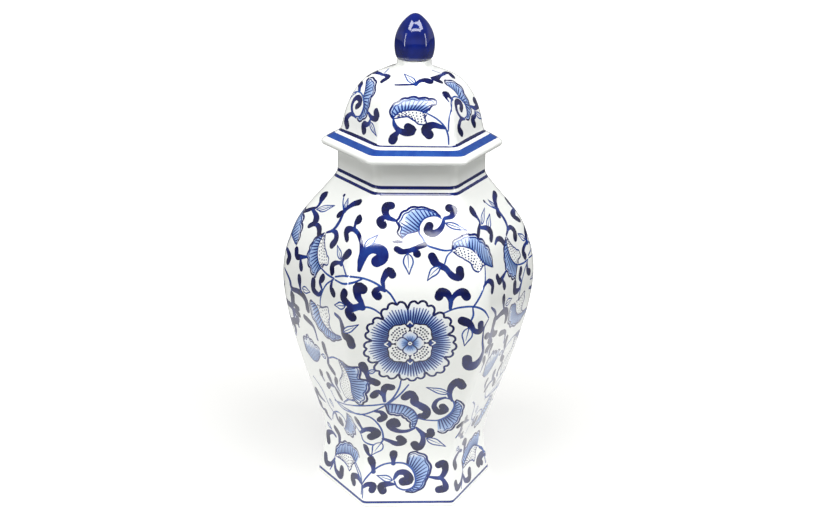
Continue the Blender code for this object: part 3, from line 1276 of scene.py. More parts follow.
@dataclass
class Lid:
    """The lid: a six-sided dome on a sloping flange, with a collar that drops into the neck.

    Sizes are in mm. The stations run up the outside, from the flange's edge to the boss.
    """

    seat: float = 261.5
    dome_base: float = 272.8
    top: float = 323.9
    flange_stripe: Band = Band(267.8, 270.8, 0.76)  # by height
    base_line: Band = Band(-0.9, 0.5, 0.93)  # from the dome's base
    unrolled: float = 46.0  # the width of one side on the flat skin
    row_step: float = 2.4
    seed: int = 23
    stations: tuple = (
        Station(261.7, 54.6, 6.0),
        Station(262.2, 56.0, 6.6),
        Station(263.5, 56.9, 7.0),
        Station(264.9, 56.9, 7.0),
        Station(266.1, 56.1, 7.0),
        Station(267.3, 54.6, 7.0),
        Station(268.3, 53.0, 7.2),
        Station(270.3, 49.9, 7.8),
        Station(272.0, 46.9, 8.6),
        Station(272.9, 45.9, 8.9),
        Station(274.4, 45.3, 9.0),
        Station(278.0, 44.4, 8.8),
        Station(286.0, 42.7, 8.3),
        Station(293.0, 40.5, 8.0),
        Station(299.0, 38.0, 7.6),
        Station(305.0, 34.5, 7.2),
        Station(310.0, 30.4, 7.0),
        Station(314.0, 24.7, 6.6),
        Station(317.4, 16.6, 6.2),
        Station(318.9, 12.6, 6.0),
        Station(320.2, 11.6, 6.0),
        Station(321.6, 11.4, 6.0),
        Station(323.2, 11.3, 6.0),
    )

    def build(self, glaze: bpy.types.Material) -> bpy.types.Object:
        """Builds and paints the lid.

        Args:
            glaze: The painted glaze.

        Returns:
            The finished piece.
        """
        section = Section(self.stations)
        base = section.run_at(self.dome_base)
        stripe, line = self.flange_stripe, self.base_line
        bands = [
            Band(section.run_at(stripe.low), section.run_at(stripe.high), stripe.tone),
            Band(base + line.low, base + line.high, line.tone),
        ]
        brush = Brush(self.seed)
        brush.lift = base
        DomePainting(brush).paint()
        piece = Piece("lid_painted")
        lower, upper = piece.lay_skin(Skin(section, self.unrolled, self.row_step), brush.strokes, bands)
        crown = piece.extend(upper, self.crown())
        vault = piece.extend(lower, self.beneath())
        piece.join_ends(crown, vault)
        return piece.finish([glaze])

    def crown(self) -> list[Station]:
        """The top of the boss and the vent down through it."""
        return [
            Station(self.top - 0.1, 10.9, 5.8),
            Station(self.top, 10.2, 5.6),
            Station(self.top, 3.2, 2.4),
            Station(self.top - 0.6, 2.6, 2.4),
            Station(314.0, 2.5, 2.3),
        ]

    def beneath(self) -> list[Station]:
        """The seat, the locating collar and the inside of the dome, up to the vent."""
        return [
            Station(self.seat, 53.6, 5.6),
            Station(self.seat, 42.0, 4.0),
            Station(self.seat - 0.6, 40.3, 3.4),
            Station(251.0, 40.3, 3.4),
            Station(249.6, 39.2, 3.2),
            Station(249.5, 37.0, 3.0),
            Station(251.0, 35.8, 3.0),
            Station(266.0, 35.8, 3.0),
            Station(274.0, 38.6, 4.0),
            Station(286.0, 37.6, 3.6),
            Station(297.0, 33.6, 3.2),
            Station(305.0, 28.2, 3.0),
            Station(309.4, 23.0, 3.0),
            Station(312.4, 15.0, 3.0),
            Station(313.6, 8.0, 3.0),
            Station(314.0, 2.5, 2.3),
        ]


# ---------------------------------------------------------------- the finial


@dataclass
class Finial:
    """The hollow cobalt bud on top of the lid, luted over the vent.

    Sizes are in mm. The stations run up the outside, from its foot to its tip.
    """

    foot: float = 324.2
    row_step: float = 1.0
    stations: tuple = (
        Station(324.5, 11.5, 6.2),
        Station(325.6, 12.1, 6.6),
        Station(329.0, 12.9, 7.0),
        Station(334.0, 13.3, 7.4),
        Station(339.0, 12.9, 7.6),
        Station(343.5, 11.7, 7.4),
        Station(347.5, 9.8, 6.6),
        Station(350.6, 7.6, 5.4),
        Station(353.0, 5.3, 4.0),
        Station(354.7, 3.2, 2.6),
        Station(355.4, 1.6, 1.4),
        Station(355.6, 0.5, 0.46),
    )

    def build(self, glaze: bpy.types.Material) -> bpy.types.Object:
        """Builds the bud.

        Args:
            glaze: The cobalt glaze.

        Returns:
            The finished piece.
        """
        section = Section(self.stations)
        piece = Piece("finial_bud")
        rows = section.at(section.courses(self.row_step, MOST_BEND))
        edges = piece.start_ring(Station(*rows[0]), Skin.columns())
        top = piece.extend(edges, [Station(*row) for row in rows[1:]])
        piece.cap(top)
        inside = [
            Station(self.foot, 11.0, 6.0),
            Station(self.foot, 3.2, 2.4),
            Station(self.foot + 3.5, 2.6, 2.3),
            Station(self.foot + 4.5, 7.0, 4.0),
            Station(self.foot + 10.0, 9.6, 4.2),
            Station(self.foot + 17.0, 8.6, 4.2),
            Station(self.foot + 24.0, 4.6, 3.0),
        ]
        piece.cap(piece.extend(edges, inside))
        return piece.finish([glaze])


# ---------------------------------------------------------------- the painting


class BodyPainting:
    """The body's design: a round flower side and a shell side, repeated three times round.

    Each mark is given as across and up values in turn, in mm from the middle of its side and
    along the section. Each repeat by hand lands a few mm off the one before.
    """

    FLOWER = (-3.3, 145.0)
    FLOWER_RADIUS = 32.6
    FLOWER_SIDES = ((0, (0.0, 0.0)), (2, (4.0, -3.0)), (-2, (-2.0, -1.5)))  # side, and how far off
    SHELL_SIDES = (  # side, and how far off its upper and its lower half are
        (-1, (0.0, 0.0), (0.0, 0.0)),
        (1, (4.0, -4.0), (0.0, -1.0)),
        (-3, (1.0, -2.0), (0.0, 0.0)),
    )

    def __init__(self, brush: Brush) -> None:
        """Takes the brush that paints."""
        self.brush = brush

    def paint(self) -> None:
        """Paints all six sides."""
        for side, shift, low_shift in self.SHELL_SIDES:
            self.brush.at_side(side, shift)
            self.shell_top()
            self.shell_belly()
            self.brush.at_side(side, low_shift)
            self.shell_low()
            self.shell_foot()
        for side, shift in self.FLOWER_SIDES:
            self.brush.at_side(side, shift)
            self.vines()
            self.upper_fan()
            self.upper_middle()
            self.upper_left()
            self.upper_right()
            self.left_of_flower()
            self.right_of_flower()
            self.brush.flower(self.FLOWER, self.FLOWER_RADIUS)
            self.lower_left()
            self.lower_middle()
            self.lower_right()
            self.foot_arch()

    def vines(self) -> None:
        """Stems that tie a flower side together."""
        b = self.brush
        b.vine(-62.5, 188.5, -50.5, 192.5, -41.5, 193.5, -36.5, 193, -29.5, 190.5, -23, 186.5, -18, 182.5,
               -13.5, 175.5)
        b.vine(-62.5, 186.5, -52, 187, -43.5, 189.5, -37, 192.5)
        b.vine(-23.5, 167.5, -29, 171.5, -34.5, 173, -39, 171.5, -43.5, 169.5)
        b.vine(19, 168.5, 25.5, 171.5, 32, 173, 41, 173, 47.5, 169.5, 53.5, 162)
        b.vine(49, 201, 49, 195, 48, 188, 44.5, 181, 39, 172.5)
        b.vine(39, 172, 39.5, 167, 37.5, 161.5)
        b.vine(-8.5, 113.5, -9.5, 107, -14, 96.5, -19, 91)
        b.vine(-3, 109.5, -8.5, 101, -15, 93.5, -19, 90.5)
        b.vine(-70.5, 77.5, -56, 81.5, -38, 89, -26, 90.5, -18.5, 91.5, -11.5, 91, -4.5, 89.5, 1.5, 85, 4.5,
               77.5)
        b.vine(-70.5, 78.5, -56.5, 77.5, -43, 79.5, -35.5, 81, -26.5, 85, -18.5, 90.5)
        b.vine(-35.5, 81, -29, 78.5, -23, 71, -20, 63, -20, 55, -24, 51.5, -29.5, 52, -34.5, 54.5, -37, 61,
               -44.5, 67)

    def upper_fan(self) -> None:
        """The fan and its curl under the neck, between pairs of commas."""
        b = self.brush
        b.comma(-17, 244, -20, 243.5, -21, 239.5, -19, 235.5, -12.5, 232.5, head=2.9, tail=0.6)
        b.comma(-23, 230, -24.5, 233, -22, 235.5, -19, 235, head=3.1, tail=2.0)
        b.fan((-9.5, 220.5, -6.5, 223.5, -1, 225, 2, 226.5, 2, 229, 5.5, 234.5, 10.5, 236.5, 14.5, 236.5, 18,
               234.5),
              (-10, 220.5, -13, 224.5, -12, 229, -13.5, 233.5, -10.5, 238, -6, 242, 1.5, 243.5, 7, 242.5,
               12.5, 240.5,
               16.5, 236.5), scallops=6, depth=0.07)
        b.comma(9, 229.5, 8, 226, 11.5, 224, 16, 226.5, 18.5, 231, 19, 234.5, head=3.0)
        b.vine(2, 227.5, 2, 224, 4, 221, 7, 216, 13, 213.5, 19.5, 212, 24.5, 212.5)
        b.comma(23, 242.5, 26, 241, 24.5, 236.5, 20, 235, head=3.0, tail=1.4)
        b.leaf(20, 231.5, 35, 226, 4.0)

    def upper_middle(self) -> None:
        """Marks and leaves across the middle, above the flower."""
        b = self.brush
        b.twin(-13.5, 213, -10, 211.2, -3, 212.5, 2.5, 215, 5.5, 216, head=2.2, other=1.9, waist=0.85)
        b.comma(0.5, 209.5, -1, 211.5, -2.5, 213, head=2.6, tail=1.6)
        b.line(pairs((-16, 218, -10, 218)), (0.7, 1.3, 0.9), (0.98, 0.98))
        b.leaf(-6, 210, -5, 195.5, 6.6)
        b.twin(10.5, 208, 13.5, 203, 19.5, 200, 25, 194.5, 29.5, 194, 29.5, 199, head=2.9, waist=0.7)
        b.leaf(16, 201, 7.5, 191.5, 5.2, -0.8)
        b.vine(24.5, 212, 21, 208.5, 19.5, 204, 19, 202.5, half=0.55)
        b.comma(-16.5, 195.5, -18.5, 198, -21, 195.5, -23, 191, -22, 186.5, head=2.8)
        b.comma(-26, 180.5, -28, 183.5, -25, 186, -21.5, 184.5, head=2.8, tail=1.2)
        b.comma(15.5, 180.5, 17, 183.5, 21, 182.5, 23.5, 178, 23.5, 172, head=3.1, tail=1.2)
        b.comma(34.5, 180.5, 32, 183.5, 27.5, 182.5, 24, 178, head=3.1, tail=1.6)

    def upper_left(self) -> None:
        """The big comma on its stem, and the forked stem beside it."""
        b = self.brush
        b.line(pairs((-39.5, 198, -38.5, 205, -37.5, 211.5, -38, 218, -41, 223, -46, 224)),
               (1.0, 1.5, 1.4, 1.5, 2.0, 1.6),
               (0.82, 0.86, 0.95, 1.0))
        b.line(pairs((-27, 204.5, -23.5, 207, -24, 211.5, -29.5, 213.5, -34.5, 211, -37.5, 205, -39, 198)),
               (4.0, 4.4, 3.9, 3.5, 3.2, 2.5, 1.1), (0.93, 0.88, 0.84, 0.86, 0.94))
        b.comma(-52.5, 216.5, -54.5, 220, -49, 223.5, -42, 223.5, head=2.8, tail=2.0)
        b.comma(-40.5, 232.5, -44.5, 228.5, -45, 225, head=2.8, tail=2.0)
        b.leaf(-35.5, 214, -26, 223, 4.2)
        b.comma(-36.5, 185.5, -39.5, 187, -40, 181, -37.5, 176.5, -36.5, 172.5, head=3.4, tail=2.2)
        b.comma(-50, 181.5, -51.5, 178, -48.5, 175.5, -43.5, 173, -36.5, 172, head=3.0, tail=1.6)

    def upper_right(self) -> None:
        """The dotted shell by the right corner, its commas, and the stem marks over the corner."""
        b = self.brush
        b.fan((24.5, 212.5, 29.5, 215, 37.5, 213, 43.5, 207, 48, 202, 61, 195.5),
              (24.5, 213.5, 25, 218.5, 31, 222.5, 38, 223.5, 46, 219.5, 56, 211.5, 61, 203.5, 61.5, 195.5),
              (25, 211, 30.5, 207, 36, 204, 39.5, 198.5, 42.5, 196.5, 48, 200.5, 61,
               195.5), scallops=6, depth=0.1)
        b.comma(58, 180.5, 59, 184.5, 51.5, 189, 47, 186.5, head=2.5)
        b.twin(43.5, 238, 48.5, 233, 52, 227, 49, 224, 45.5, 220.5, head=2.7, other=2.2)
        b.comma(64, 213.5, 66, 216.5, 61, 221, 51.5, 224, head=2.7, tail=1.2)
        b.leaf(54, 225.5, 64.5, 234, 4.2)

    def left_of_flower(self) -> None:
        """Sprigs at the flower's left, over the corner."""
        b = self.brush
        b.comma(-43.5, 165, -46.5, 168.5, -44, 172, -38, 174.5, head=3.2, tail=2.0)
        b.leaf(-49, 172.5, -62, 169, 4.8)
        b.comma(-44, 143, -46, 148, -49.5, 149.5, -52, 156, -54.5, 161, -61, 162.5, head=3.3, tail=1.4)
        b.leaf(-51, 152, -39, 160, 4.4)
        b.twin(-36, 127, -33.5, 121.5, -31, 115, -25.5, 111, head=3.0)
        b.leaf(-32, 120, -25.5, 123, 3.2)

    def right_of_flower(self) -> None:
        """Marks at the flower's right, and the long tail that curls under them."""
        b = self.brush
        b.twin(32, 163, 37, 160.5, 41, 155, 45.5, 154, 45.5, 160, head=3.2, other=2.4, waist=0.8)
        b.leaf(37, 157.5, 34.5, 143, 7.0)
        b.line(pairs((37, 132, 38, 126.5, 42.5, 125.5, 47.5, 128.5, 50.5, 135.5, 48.5, 144, 49, 156.5, 53.5,
                      162)),
               (3.6, 4.0, 3.4, 2.2, 1.2, 0.8, 0.7, 0.7), (1.0, 0.9, 0.86, 0.95, 0.9))
        b.twin(65, 157, 62.5, 150.5, 60, 145.5, 63.5, 137.5, 56, 134, head=2.8)
        b.twin(52.5, 148, 60, 145.5, 68.5, 143.5, head=2.8)

    def lower_left(self) -> None:
        """Commas and the leaf round the open ring under the flower's left."""
        b = self.brush
        b.comma(-15, 107, -19, 107.5, -20.5, 102.5, -19.5, 94, head=2.8, tail=1.2)
        b.comma(-27.5, 99.5, -24.5, 103, -21, 100.5, head=2.9, tail=1.8)
        b.comma(-28, 59.5, -24.5, 62.5, -27.5, 66.5, -32, 66.5, -37, 61.5, head=3.5, tail=1.2)
        b.comma(-41.5, 74, -38, 70, -35, 66, head=2.4, tail=1.6)
        b.comma(-22, 76.5, -19.5, 79, -21.5, 83.5, -26, 84.5, head=2.8, tail=1.0)
        b.comma(-7.5, 58, -5, 54.5, -9.5, 52.5, -14.5, 55, -19.5, 57.5, head=3.0, tail=1.2)
        b.leaf(-20.5, 53.5, -27.5, 42, 7.6)

    def lower_middle(self) -> None:
        """The double-ended mark and the crescent with its curl, in the middle."""
        b = self.brush
        b.twin(-5, 98, -1.5, 101, 1.5, 97.5, 2, 93, 6.5, 89.5, 11, 85, 9.5, 79.5, 7, 79.5, head=3.3,
               waist=0.9)
        b.fan((-19, 91, -11.5, 91, -4.5, 89.5, 1.5, 85, 4.5, 77.5, 2.5, 67.5),
              (-17, 82.5, -12.5, 80.5, -7.5, 80, -4, 76.5, -1, 73.5, -0.5, 68), scallops=5, depth=0.08)
        b.comma(-10, 71.5, -12, 75, -15, 72.5, -13.5, 68, -8.5, 65, -2.5, 65, 2.5, 67.5, head=3.0, tail=1.0)
        b.comma(14.5, 65, 15, 61, 10.5, 61, 8.5, 63, 4, 68.5, head=2.8)
        b.comma(3.5, 52, 6, 48.5, 9, 52, 9.5, 58, 8, 63, head=3.1, tail=1.4)
        b.leaf(12, 57.5, 26.5, 49.5, 5.6)

    def lower_right(self) -> None:
        """The ring, its curl and the long fan at the lower right."""
        b = self.brush
        b.fan((30.5, 91, 30, 85, 26, 78.5, 19, 75.5),
              (31, 96, 37.5, 90.5, 37.5, 82.5, 35.5, 74.5, 31, 67.5, 25.5, 63, 20,
               63), scallops=6, depth=0.08)
        b.vine(5, 77.5, 10, 76, 14.5, 75.5, 19, 75.5, 24.5, 78.5, 29, 84, 30.5, 90.5, 28.5, 95, 23.5, 97, 19,
               95.5)
        b.comma(22, 89, 24, 85.5, 20, 83.5, 16, 89, 18, 95, 23.5, 97.5, head=2.8)
        b.comma(35, 108, 32, 112, 27.5, 108, 26.5, 100, 28.5, 94.5, head=3.3, tail=1.0)
        b.leaf(26, 101, 9.5, 107, 4.6)

    def foot_arch(self) -> None:
        """The arch over the foot that curls in, with its fan and commas."""
        b = self.brush
        b.vine(-34.5, 6.5, -34.5, 13, -35.5, 16.5, -40.5, 21.5, -47.5, 28)
        b.fan((-1.5, 34, 2.5, 30.5, 4.5, 25.5, 5, 19, 2.5, 15, -2, 13),
              (-1, 43.5, 5.5, 45, 12, 41.5, 15.5, 34.5, 17, 29, 14.5, 24, 13, 19, 9.5, 14, 3.5, 11.5, -2, 12),
              scallops=6, depth=0.08)
        b.vine(-35.5, 16.5, -30.5, 24, -25.5, 29.5, -18, 34, -11, 35, -3.5, 34.5, 1.5, 31, 4.5, 25.5, 5, 19,
               2.5, 15,
               -3.5, 13.5, -8.5, 16, -10.5, 20.5)
        b.comma(-4, 20, 0.5, 21.5, -2.5, 27, -7.5, 27, -11, 22, head=3.4)
        b.comma(-28, 38, -26.5, 33.5, -26, 28, head=2.8, tail=1.8)
        b.comma(-11.5, 43.5, -11.5, 38.5, -11.5, 34.5, head=2.9, tail=1.8)
        b.leaf(-12, 21, -23.5, 25, 4.6)
        b.comma(-19, 13, -20, 16.5, -16.5, 18, -10.5, 18, head=3.1)
        b.comma(-27, 13.5, -26, 17, -30, 18, -35, 14, head=2.6)
        b.comma(-46.5, 13.5, -49, 16.5, -42.5, 18.5, -36, 16, head=2.4)
        b.comma(22, 33, 25.5, 34.5, 27, 29, 23.5, 23, 15.5, 23.5, head=2.8)
        b.comma(22.5, 13.5, 27.5, 15, 26, 20.5, 23, 23, head=2.9, tail=1.4)

    def shell_top(self) -> None:
        """The dotted shell on a shell side's shoulder, and the marks round it."""
        b = self.brush
        b.leaf(-19, 224, -5.5, 232.5, 4.4)
        b.vine(-2.5, 242, 0.5, 237.5, 6.5, 232.5, half=0.6)
        b.dot((-2.5, 242), 1.4, 0.95, 8)
        b.leaf(7, 233.5, 3.5, 241.5, 3.2)
        b.line(pairs((17.5, 242.5, 12, 239, 8, 232, 9.5, 224, 8, 217, 2, 213)),
               (2.6, 2.4, 1.9, 1.5, 1.7, 1.4, 0.8),
               (1.0, 0.9, 0.84, 0.95))
        b.comma(5, 228, 7, 231.5, 9, 232, head=2.5, tail=1.2)
        b.comma(14, 207.5, 16, 211.5, 12.5, 216, 6.5, 216, head=3.0, tail=1.2)
        b.comma(-5.5, 209.5, -7.5, 212.5, -13, 214.5, -18.5, 212.5, head=2.6, tail=1.0)
        b.fan((0, 212, -1.5, 204.5, -0.5, 197, 4.5, 191, 9.5, 188.5),
              (0, 212, -8, 206, -12, 197.5, -12, 190.5, -7, 184.5, -1, 180.5, 3, 179.5, 4, 184),
              (1.5, 212, 5.5, 205, 10.5, 200.5, 16, 196.5, 15.5, 193, 11.5, 192, 10,
               188.5), scallops=7, depth=0.1)
        b.vine(9.5, 188.5, 18, 187, 27.5, 187)
        b.vine(27, 186, 20, 181, 15.5, 175, 12, 166.5, 11.5, 159.5)
        b.comma(35.5, 208, 32, 203, 31.5, 199, head=3.2, tail=2.0)
        b.comma(23.5, 190.5, 21.5, 194, 24, 197, 31, 199.5, head=2.7, tail=2.0)
        b.vine(32, 200, 36, 197, 40, 193.5)
        b.leaf(29.5, 201.5, 20, 209, 4.2)
        b.comma(-27.5, 191, -25, 187, -19.5, 188, -12, 190.5, head=2.6)
        b.comma(-17, 180.5, -19, 185, -19.5, 188, head=2.6, tail=1.4)

    def shell_belly(self) -> None:
        """The lower dotted shell of a shell side, and the marks across its belly."""
        b = self.brush
        b.comma(-8, 151.5, -9, 157.5, -13.5, 161, -20.5, 161.5, -30, 161, -32.5, 166.5, -40.5, 173, head=2.8,
                tail=0.7)
        b.comma(-18.5, 173, -17.5, 167.5, -16, 163, head=2.7, tail=1.6)
        b.leaf(-14, 166, -2.5, 167, 4.8)
        b.comma(-23.5, 147, -27.5, 147.5, -32, 153.5, -30.5, 159.5, head=2.3, tail=1.0)
        b.comma(1.5, 176.5, 2, 171, 10, 169.5, 13, 173, head=3.1, tail=1.2)
        b.comma(13.5, 183.5, 10.5, 178.5, 13.5, 175, head=2.7, tail=1.2)
        b.comma(29.5, 176.5, 25.5, 179.5, 25.5, 185, head=2.7, tail=1.2)
        b.fan((-1, 161.5, 7.5, 158.5, 10.5, 152, 17, 147, 28, 145.5, 38, 147),
              (-3, 161.5, -4.5, 152.5, 0, 144.5, 10.5, 139, 22.5, 138, 38, 145),
              (12.5, 160, 22.5, 164, 24, 158, 22.5, 151, 26, 146.5, 38, 147), scallops=6)
        b.comma(-14.5, 143, -3, 139.5, 0, 130, head=2.4, tail=1.2)
        b.comma(-26.5, 137.5, -28, 134, -27.5, 130, head=2.4, tail=1.0)
        b.comma(-36, 146, -32, 143, -33, 134, head=2.5, tail=1.0)
        b.comma(-37.5, 132, -34, 127, -36, 120, head=2.3, tail=1.0)

    def shell_low(self) -> None:
        """The stepped shell and the ring of a shell side's lower half."""
        b = self.brush
        b.fan((-24, 110.5, -16, 106, -9, 108, -1, 116.5), (-25, 122, -15.5, 128, -8.5, 125, 0, 123),
              scallops=4, wash=0.3)
        b.twin(8, 129, 8.5, 124, 10.5, 119, 9, 113, 14.5, 108, head=2.8)
        b.vine(10.5, 118.5, 19, 123, 29.5, 125)
        b.leaf(7.5, 118, 0, 117.5, 3.4)
        b.fan((27, 124.5, 35, 118.5, 37.5, 110, 35.5, 100, 35.5, 93),
              (32.5, 125.5, 40, 124, 50, 124.5, 47, 115.5, 53.5, 112.5, 49, 102.5, 44.5, 92.5, 39.5, 90, 35.5,
               92.5),
              (27, 124, 28.5, 114, 20.5, 103, 20, 96.5, 23, 90.5, 35.5, 92), scallops=7, depth=0.09)
        b.vine(35.5, 93, 26.5, 89.5, 17.5, 83)
        b.twin(3.5, 101.5, 6, 95, 10, 92, 14.5, 85.5, head=2.7)
        b.comma(-3, 88, 1, 91.5, 6, 92.5, head=2.4, tail=1.4)
        b.comma(-8, 99, -8.5, 96, -6.5, 92, head=2.4, tail=1.2)
        b.vine(-25, 87.5, -16, 80, -11, 65.5, -5.5, 61.5)
        b.comma(-27, 74, -24.5, 70, -17.5, 67, head=2.4)
        b.comma(-27, 62.5, -27, 58.5, -22, 56, head=2.2)
        b.comma(-21.5, 57, -20.5, 53.5, -16, 51, head=2.2)
        b.comma(-34, 69.5, -31, 71, -29, 64.5, -31.5, 58, head=2.2)
        b.leaf(-7, 75, -4.5, 67.5, 3.6)
        b.vine(0, 86, 3.5, 79, 12, 75, 36.5, 81)
        b.vine(-13, 53, -9, 60, -3.5, 64.5, 3, 66.5, 9, 64, 9.5, 59, 6, 54.5)
        b.comma(2, 59.5, 1.5, 56, -3, 57, -4, 64, head=2.8)
        b.fan((16.5, 72.5, 12, 63.5, 6, 54.5), (17, 73, 24, 70.5, 23.5, 60, 13.5, 49, 6, 49, 3, 52.5),
              scallops=5)
        b.comma(16, 103, 13, 97, 16, 92, head=2.3, tail=1.0)

    def shell_foot(self) -> None:
        """The dotted fan over a shell side's foot."""
        b = self.brush
        b.comma(-23.5, 29, -25, 34.5, -17, 39, -13, 37.5, head=2.8, tail=1.2)
        b.comma(-11.5, 45, -7.5, 41.5, -8.5, 32, head=2.9)
        b.leaf(-24, 45, -18, 41, 3.2)
        b.fan((-12, 22.5, -2.5, 28, 9, 31.5, 16.5, 28.5),
              (-12, 23.5, -12, 29.5, -3.5, 37.5, 7.5, 41.5, 18, 40.5, 21.5, 36.5),
              (-11, 22, -1.5, 22.5, 5, 21.5, 10, 18.5, 12.5, 25.5, 16.5, 28.5), scallops=5)
        b.vine(16.5, 28.5, 21, 25.5, 24.5, 23, 27.5, 16.5, 28.5, 8.5)
        b.vine(-12, 22.5, -13.5, 15, -17, 8, half=0.6)
        b.comma(-25.5, 16.5, -23.5, 11.5, -17, 12.5, -12, 19.5, head=2.7)
        b.comma(-1, 15.5, -1.5, 10, -9, 11, -12.5, 18, head=3.0)
        b.comma(17, 12.5, 14.5, 16, 20, 19.5, 26.5, 19, head=2.8)
        b.comma(31, 49, 32, 43, 35, 40, head=2.3, tail=1.0)


class DomePainting:
    """The dome's design: a dotted shell and an open curl by turns, in mm up from the dome's base."""

    SHELL_SIDES = (0, 2, -2)
    CURL_SIDES = ((-1, (0.0, 0.0)), (1, (3.0, 2.0)), (-3, (1.0, 1.0)))  # side, and how far off
    HALF_BASE = 24.0  # half the length of the heavier base line on a curl side

    def __init__(self, brush: Brush) -> None:
        """Takes the brush that paints."""
        self.brush = brush

    def paint(self) -> None:
        """Paints all six sides of the dome."""
        for side in self.SHELL_SIDES:
            self.brush.at_side(side)
            self.shell_side()
        for side, shift in self.CURL_SIDES:
            self.brush.at_side(side)
            ends = [(-self.HALF_BASE, 0.5), (self.HALF_BASE, 0.5)]
            self.brush.line(ends, (0.6, 1.1, 1.1, 0.6), (0.98, 0.98))
            self.brush.at_side(side, shift)
            self.curl_side()

    def shell_side(self) -> None:
        """The dotted shell on its stem, with commas and a leaf."""
        b = self.brush
        b.vine(7, 22.5, 14, 18.5, 19, 13.5, 21.5, 7.5, 22, 1.5, half=0.6)
        b.vine(21.5, 10.5, 22.5, 20.5, 27.5, 31, half=0.6)
        b.comma(9.5, 46.5, 6, 48, 2, 46.5, -0.5, 43.5, head=2.5, tail=1.4)
        b.line(pairs((-14.5, 43, -8.5, 43.2, -1.5, 43.5)), (0.7, 0.9, 0.7), (0.95, 0.95))
        b.leaf(-1, 44, -8, 55, 4.8)
        b.fan((-16.5, 19, -12, 23, -6.5, 24.5, 0.5, 24.5, 7, 22.5),
              (-17, 19, -18.5, 24, -15.5, 29, -9.5, 32.5, -4, 34, 4, 33.5, 10.5, 33, 14.5, 29.5, 10.5, 28,
               8.5, 25),
              (-16.5, 18.5, -11, 19.5, -6.5, 20, -2, 17.5, 2.5, 14.5, 6.5, 15.5, 5.5, 19.5, 7,
               22), scallops=7, depth=0.08)
        b.comma(-6, 13, -3, 10.8, -7.5, 9.4, -12, 10.8, -15.2, 14.5, -16, 18.5, head=2.9, tail=0.6)
        b.comma(-16.5, 4, -15, 7, -12, 10.5, head=3.0, tail=1.8)
        b.comma(8.5, 8, 6, 11.5, 10.5, 14.5, 16, 13.5, 19.5, 12.5, head=3.2)
        b.comma(19, 36, 23.5, 34.5, 26, 32, 28.5, 30.5, head=2.1)

    def curl_side(self) -> None:
        """A crescent round an open curl, with commas above and below."""
        b = self.brush
        b.fan((-12, 39, -7.5, 33, -5.5, 27, -0.5, 21, -2.5, 14),
              (-13.5, 40.5, -8, 43.5, 0.5, 39.5, 4.5, 33, 4, 27, 5.5, 21, 4.5, 14.5, -1.5, 11, -6.5,
               12), scallops=6)
        b.vine(-23.5, 21.5, -20, 27.5, -12.5, 30, -5.5, 27, -1.5, 21, -3, 14.5, -9, 13, half=0.6)
        b.comma(-9.5, 20, -7, 22.5, -9, 25.5, -13.5, 25.5, -16, 21, -13.5, 15.5, -7.5, 12.5, head=2.3)
        b.comma(-15.5, 44, -17, 46.5, -7.5, 48.5, -1, 48, head=2.4)
        b.comma(4, 43.5, 5, 47.5, 1, 49, -5, 48, head=2.3)
        b.vine(-3, 50, -6, 56, half=0.5)
        b.comma(-22, 33, -22.5, 31, -22, 28, head=1.3, tail=0.5)
        b.comma(-16, 4.5, -19, 8.5, -14, 13.5, -9, 13, head=2.7)
        b.comma(14.5, 21.5, 18, 18, 12, 16.5, 6, 19, head=2.7)
        b.comma(6, 6, 4, 10, 9.5, 11.5, 11, 15.5, head=2.8)
        b.leaf(10.5, 13.5, 22, 6, 3.6)


# ---------------------------------------------------------------- the studio


@dataclass(frozen=True)
class Softbox:
    """A rectangular lamp.

    Its way from the jar is in degrees, its distance and size in metres and its power in watts.
    """

    name: str
    azimuth: float
    elevation: float
    distance: float
    size: tuple[float, float]
    power: float

    def build(self, aim: Vector) -> None:
        """Hangs the lamp so that it faces a point.

        Args:
            aim: The point, in metres.
        """
        a, e = math.radians(self.azimuth), math.radians(self.elevation)
        way = Vector((math.sin(a) * math.cos(e), -math.cos(a) * math.cos(e), math.sin(e)))
        data = bpy.data.lights.new(self.name, "AREA")
        data.shape = "RECTANGLE"
        data.size, data.size_y = self.size
        data.energy = self.power
        lamp = bpy.data.objects.new(self.name, data)
        lamp.location = aim + way * self.distance
        lamp.rotation_euler = (-way).to_track_quat("-Z", "Y").to_euler()
        bpy.context.scene.collection.objects.link(lamp)


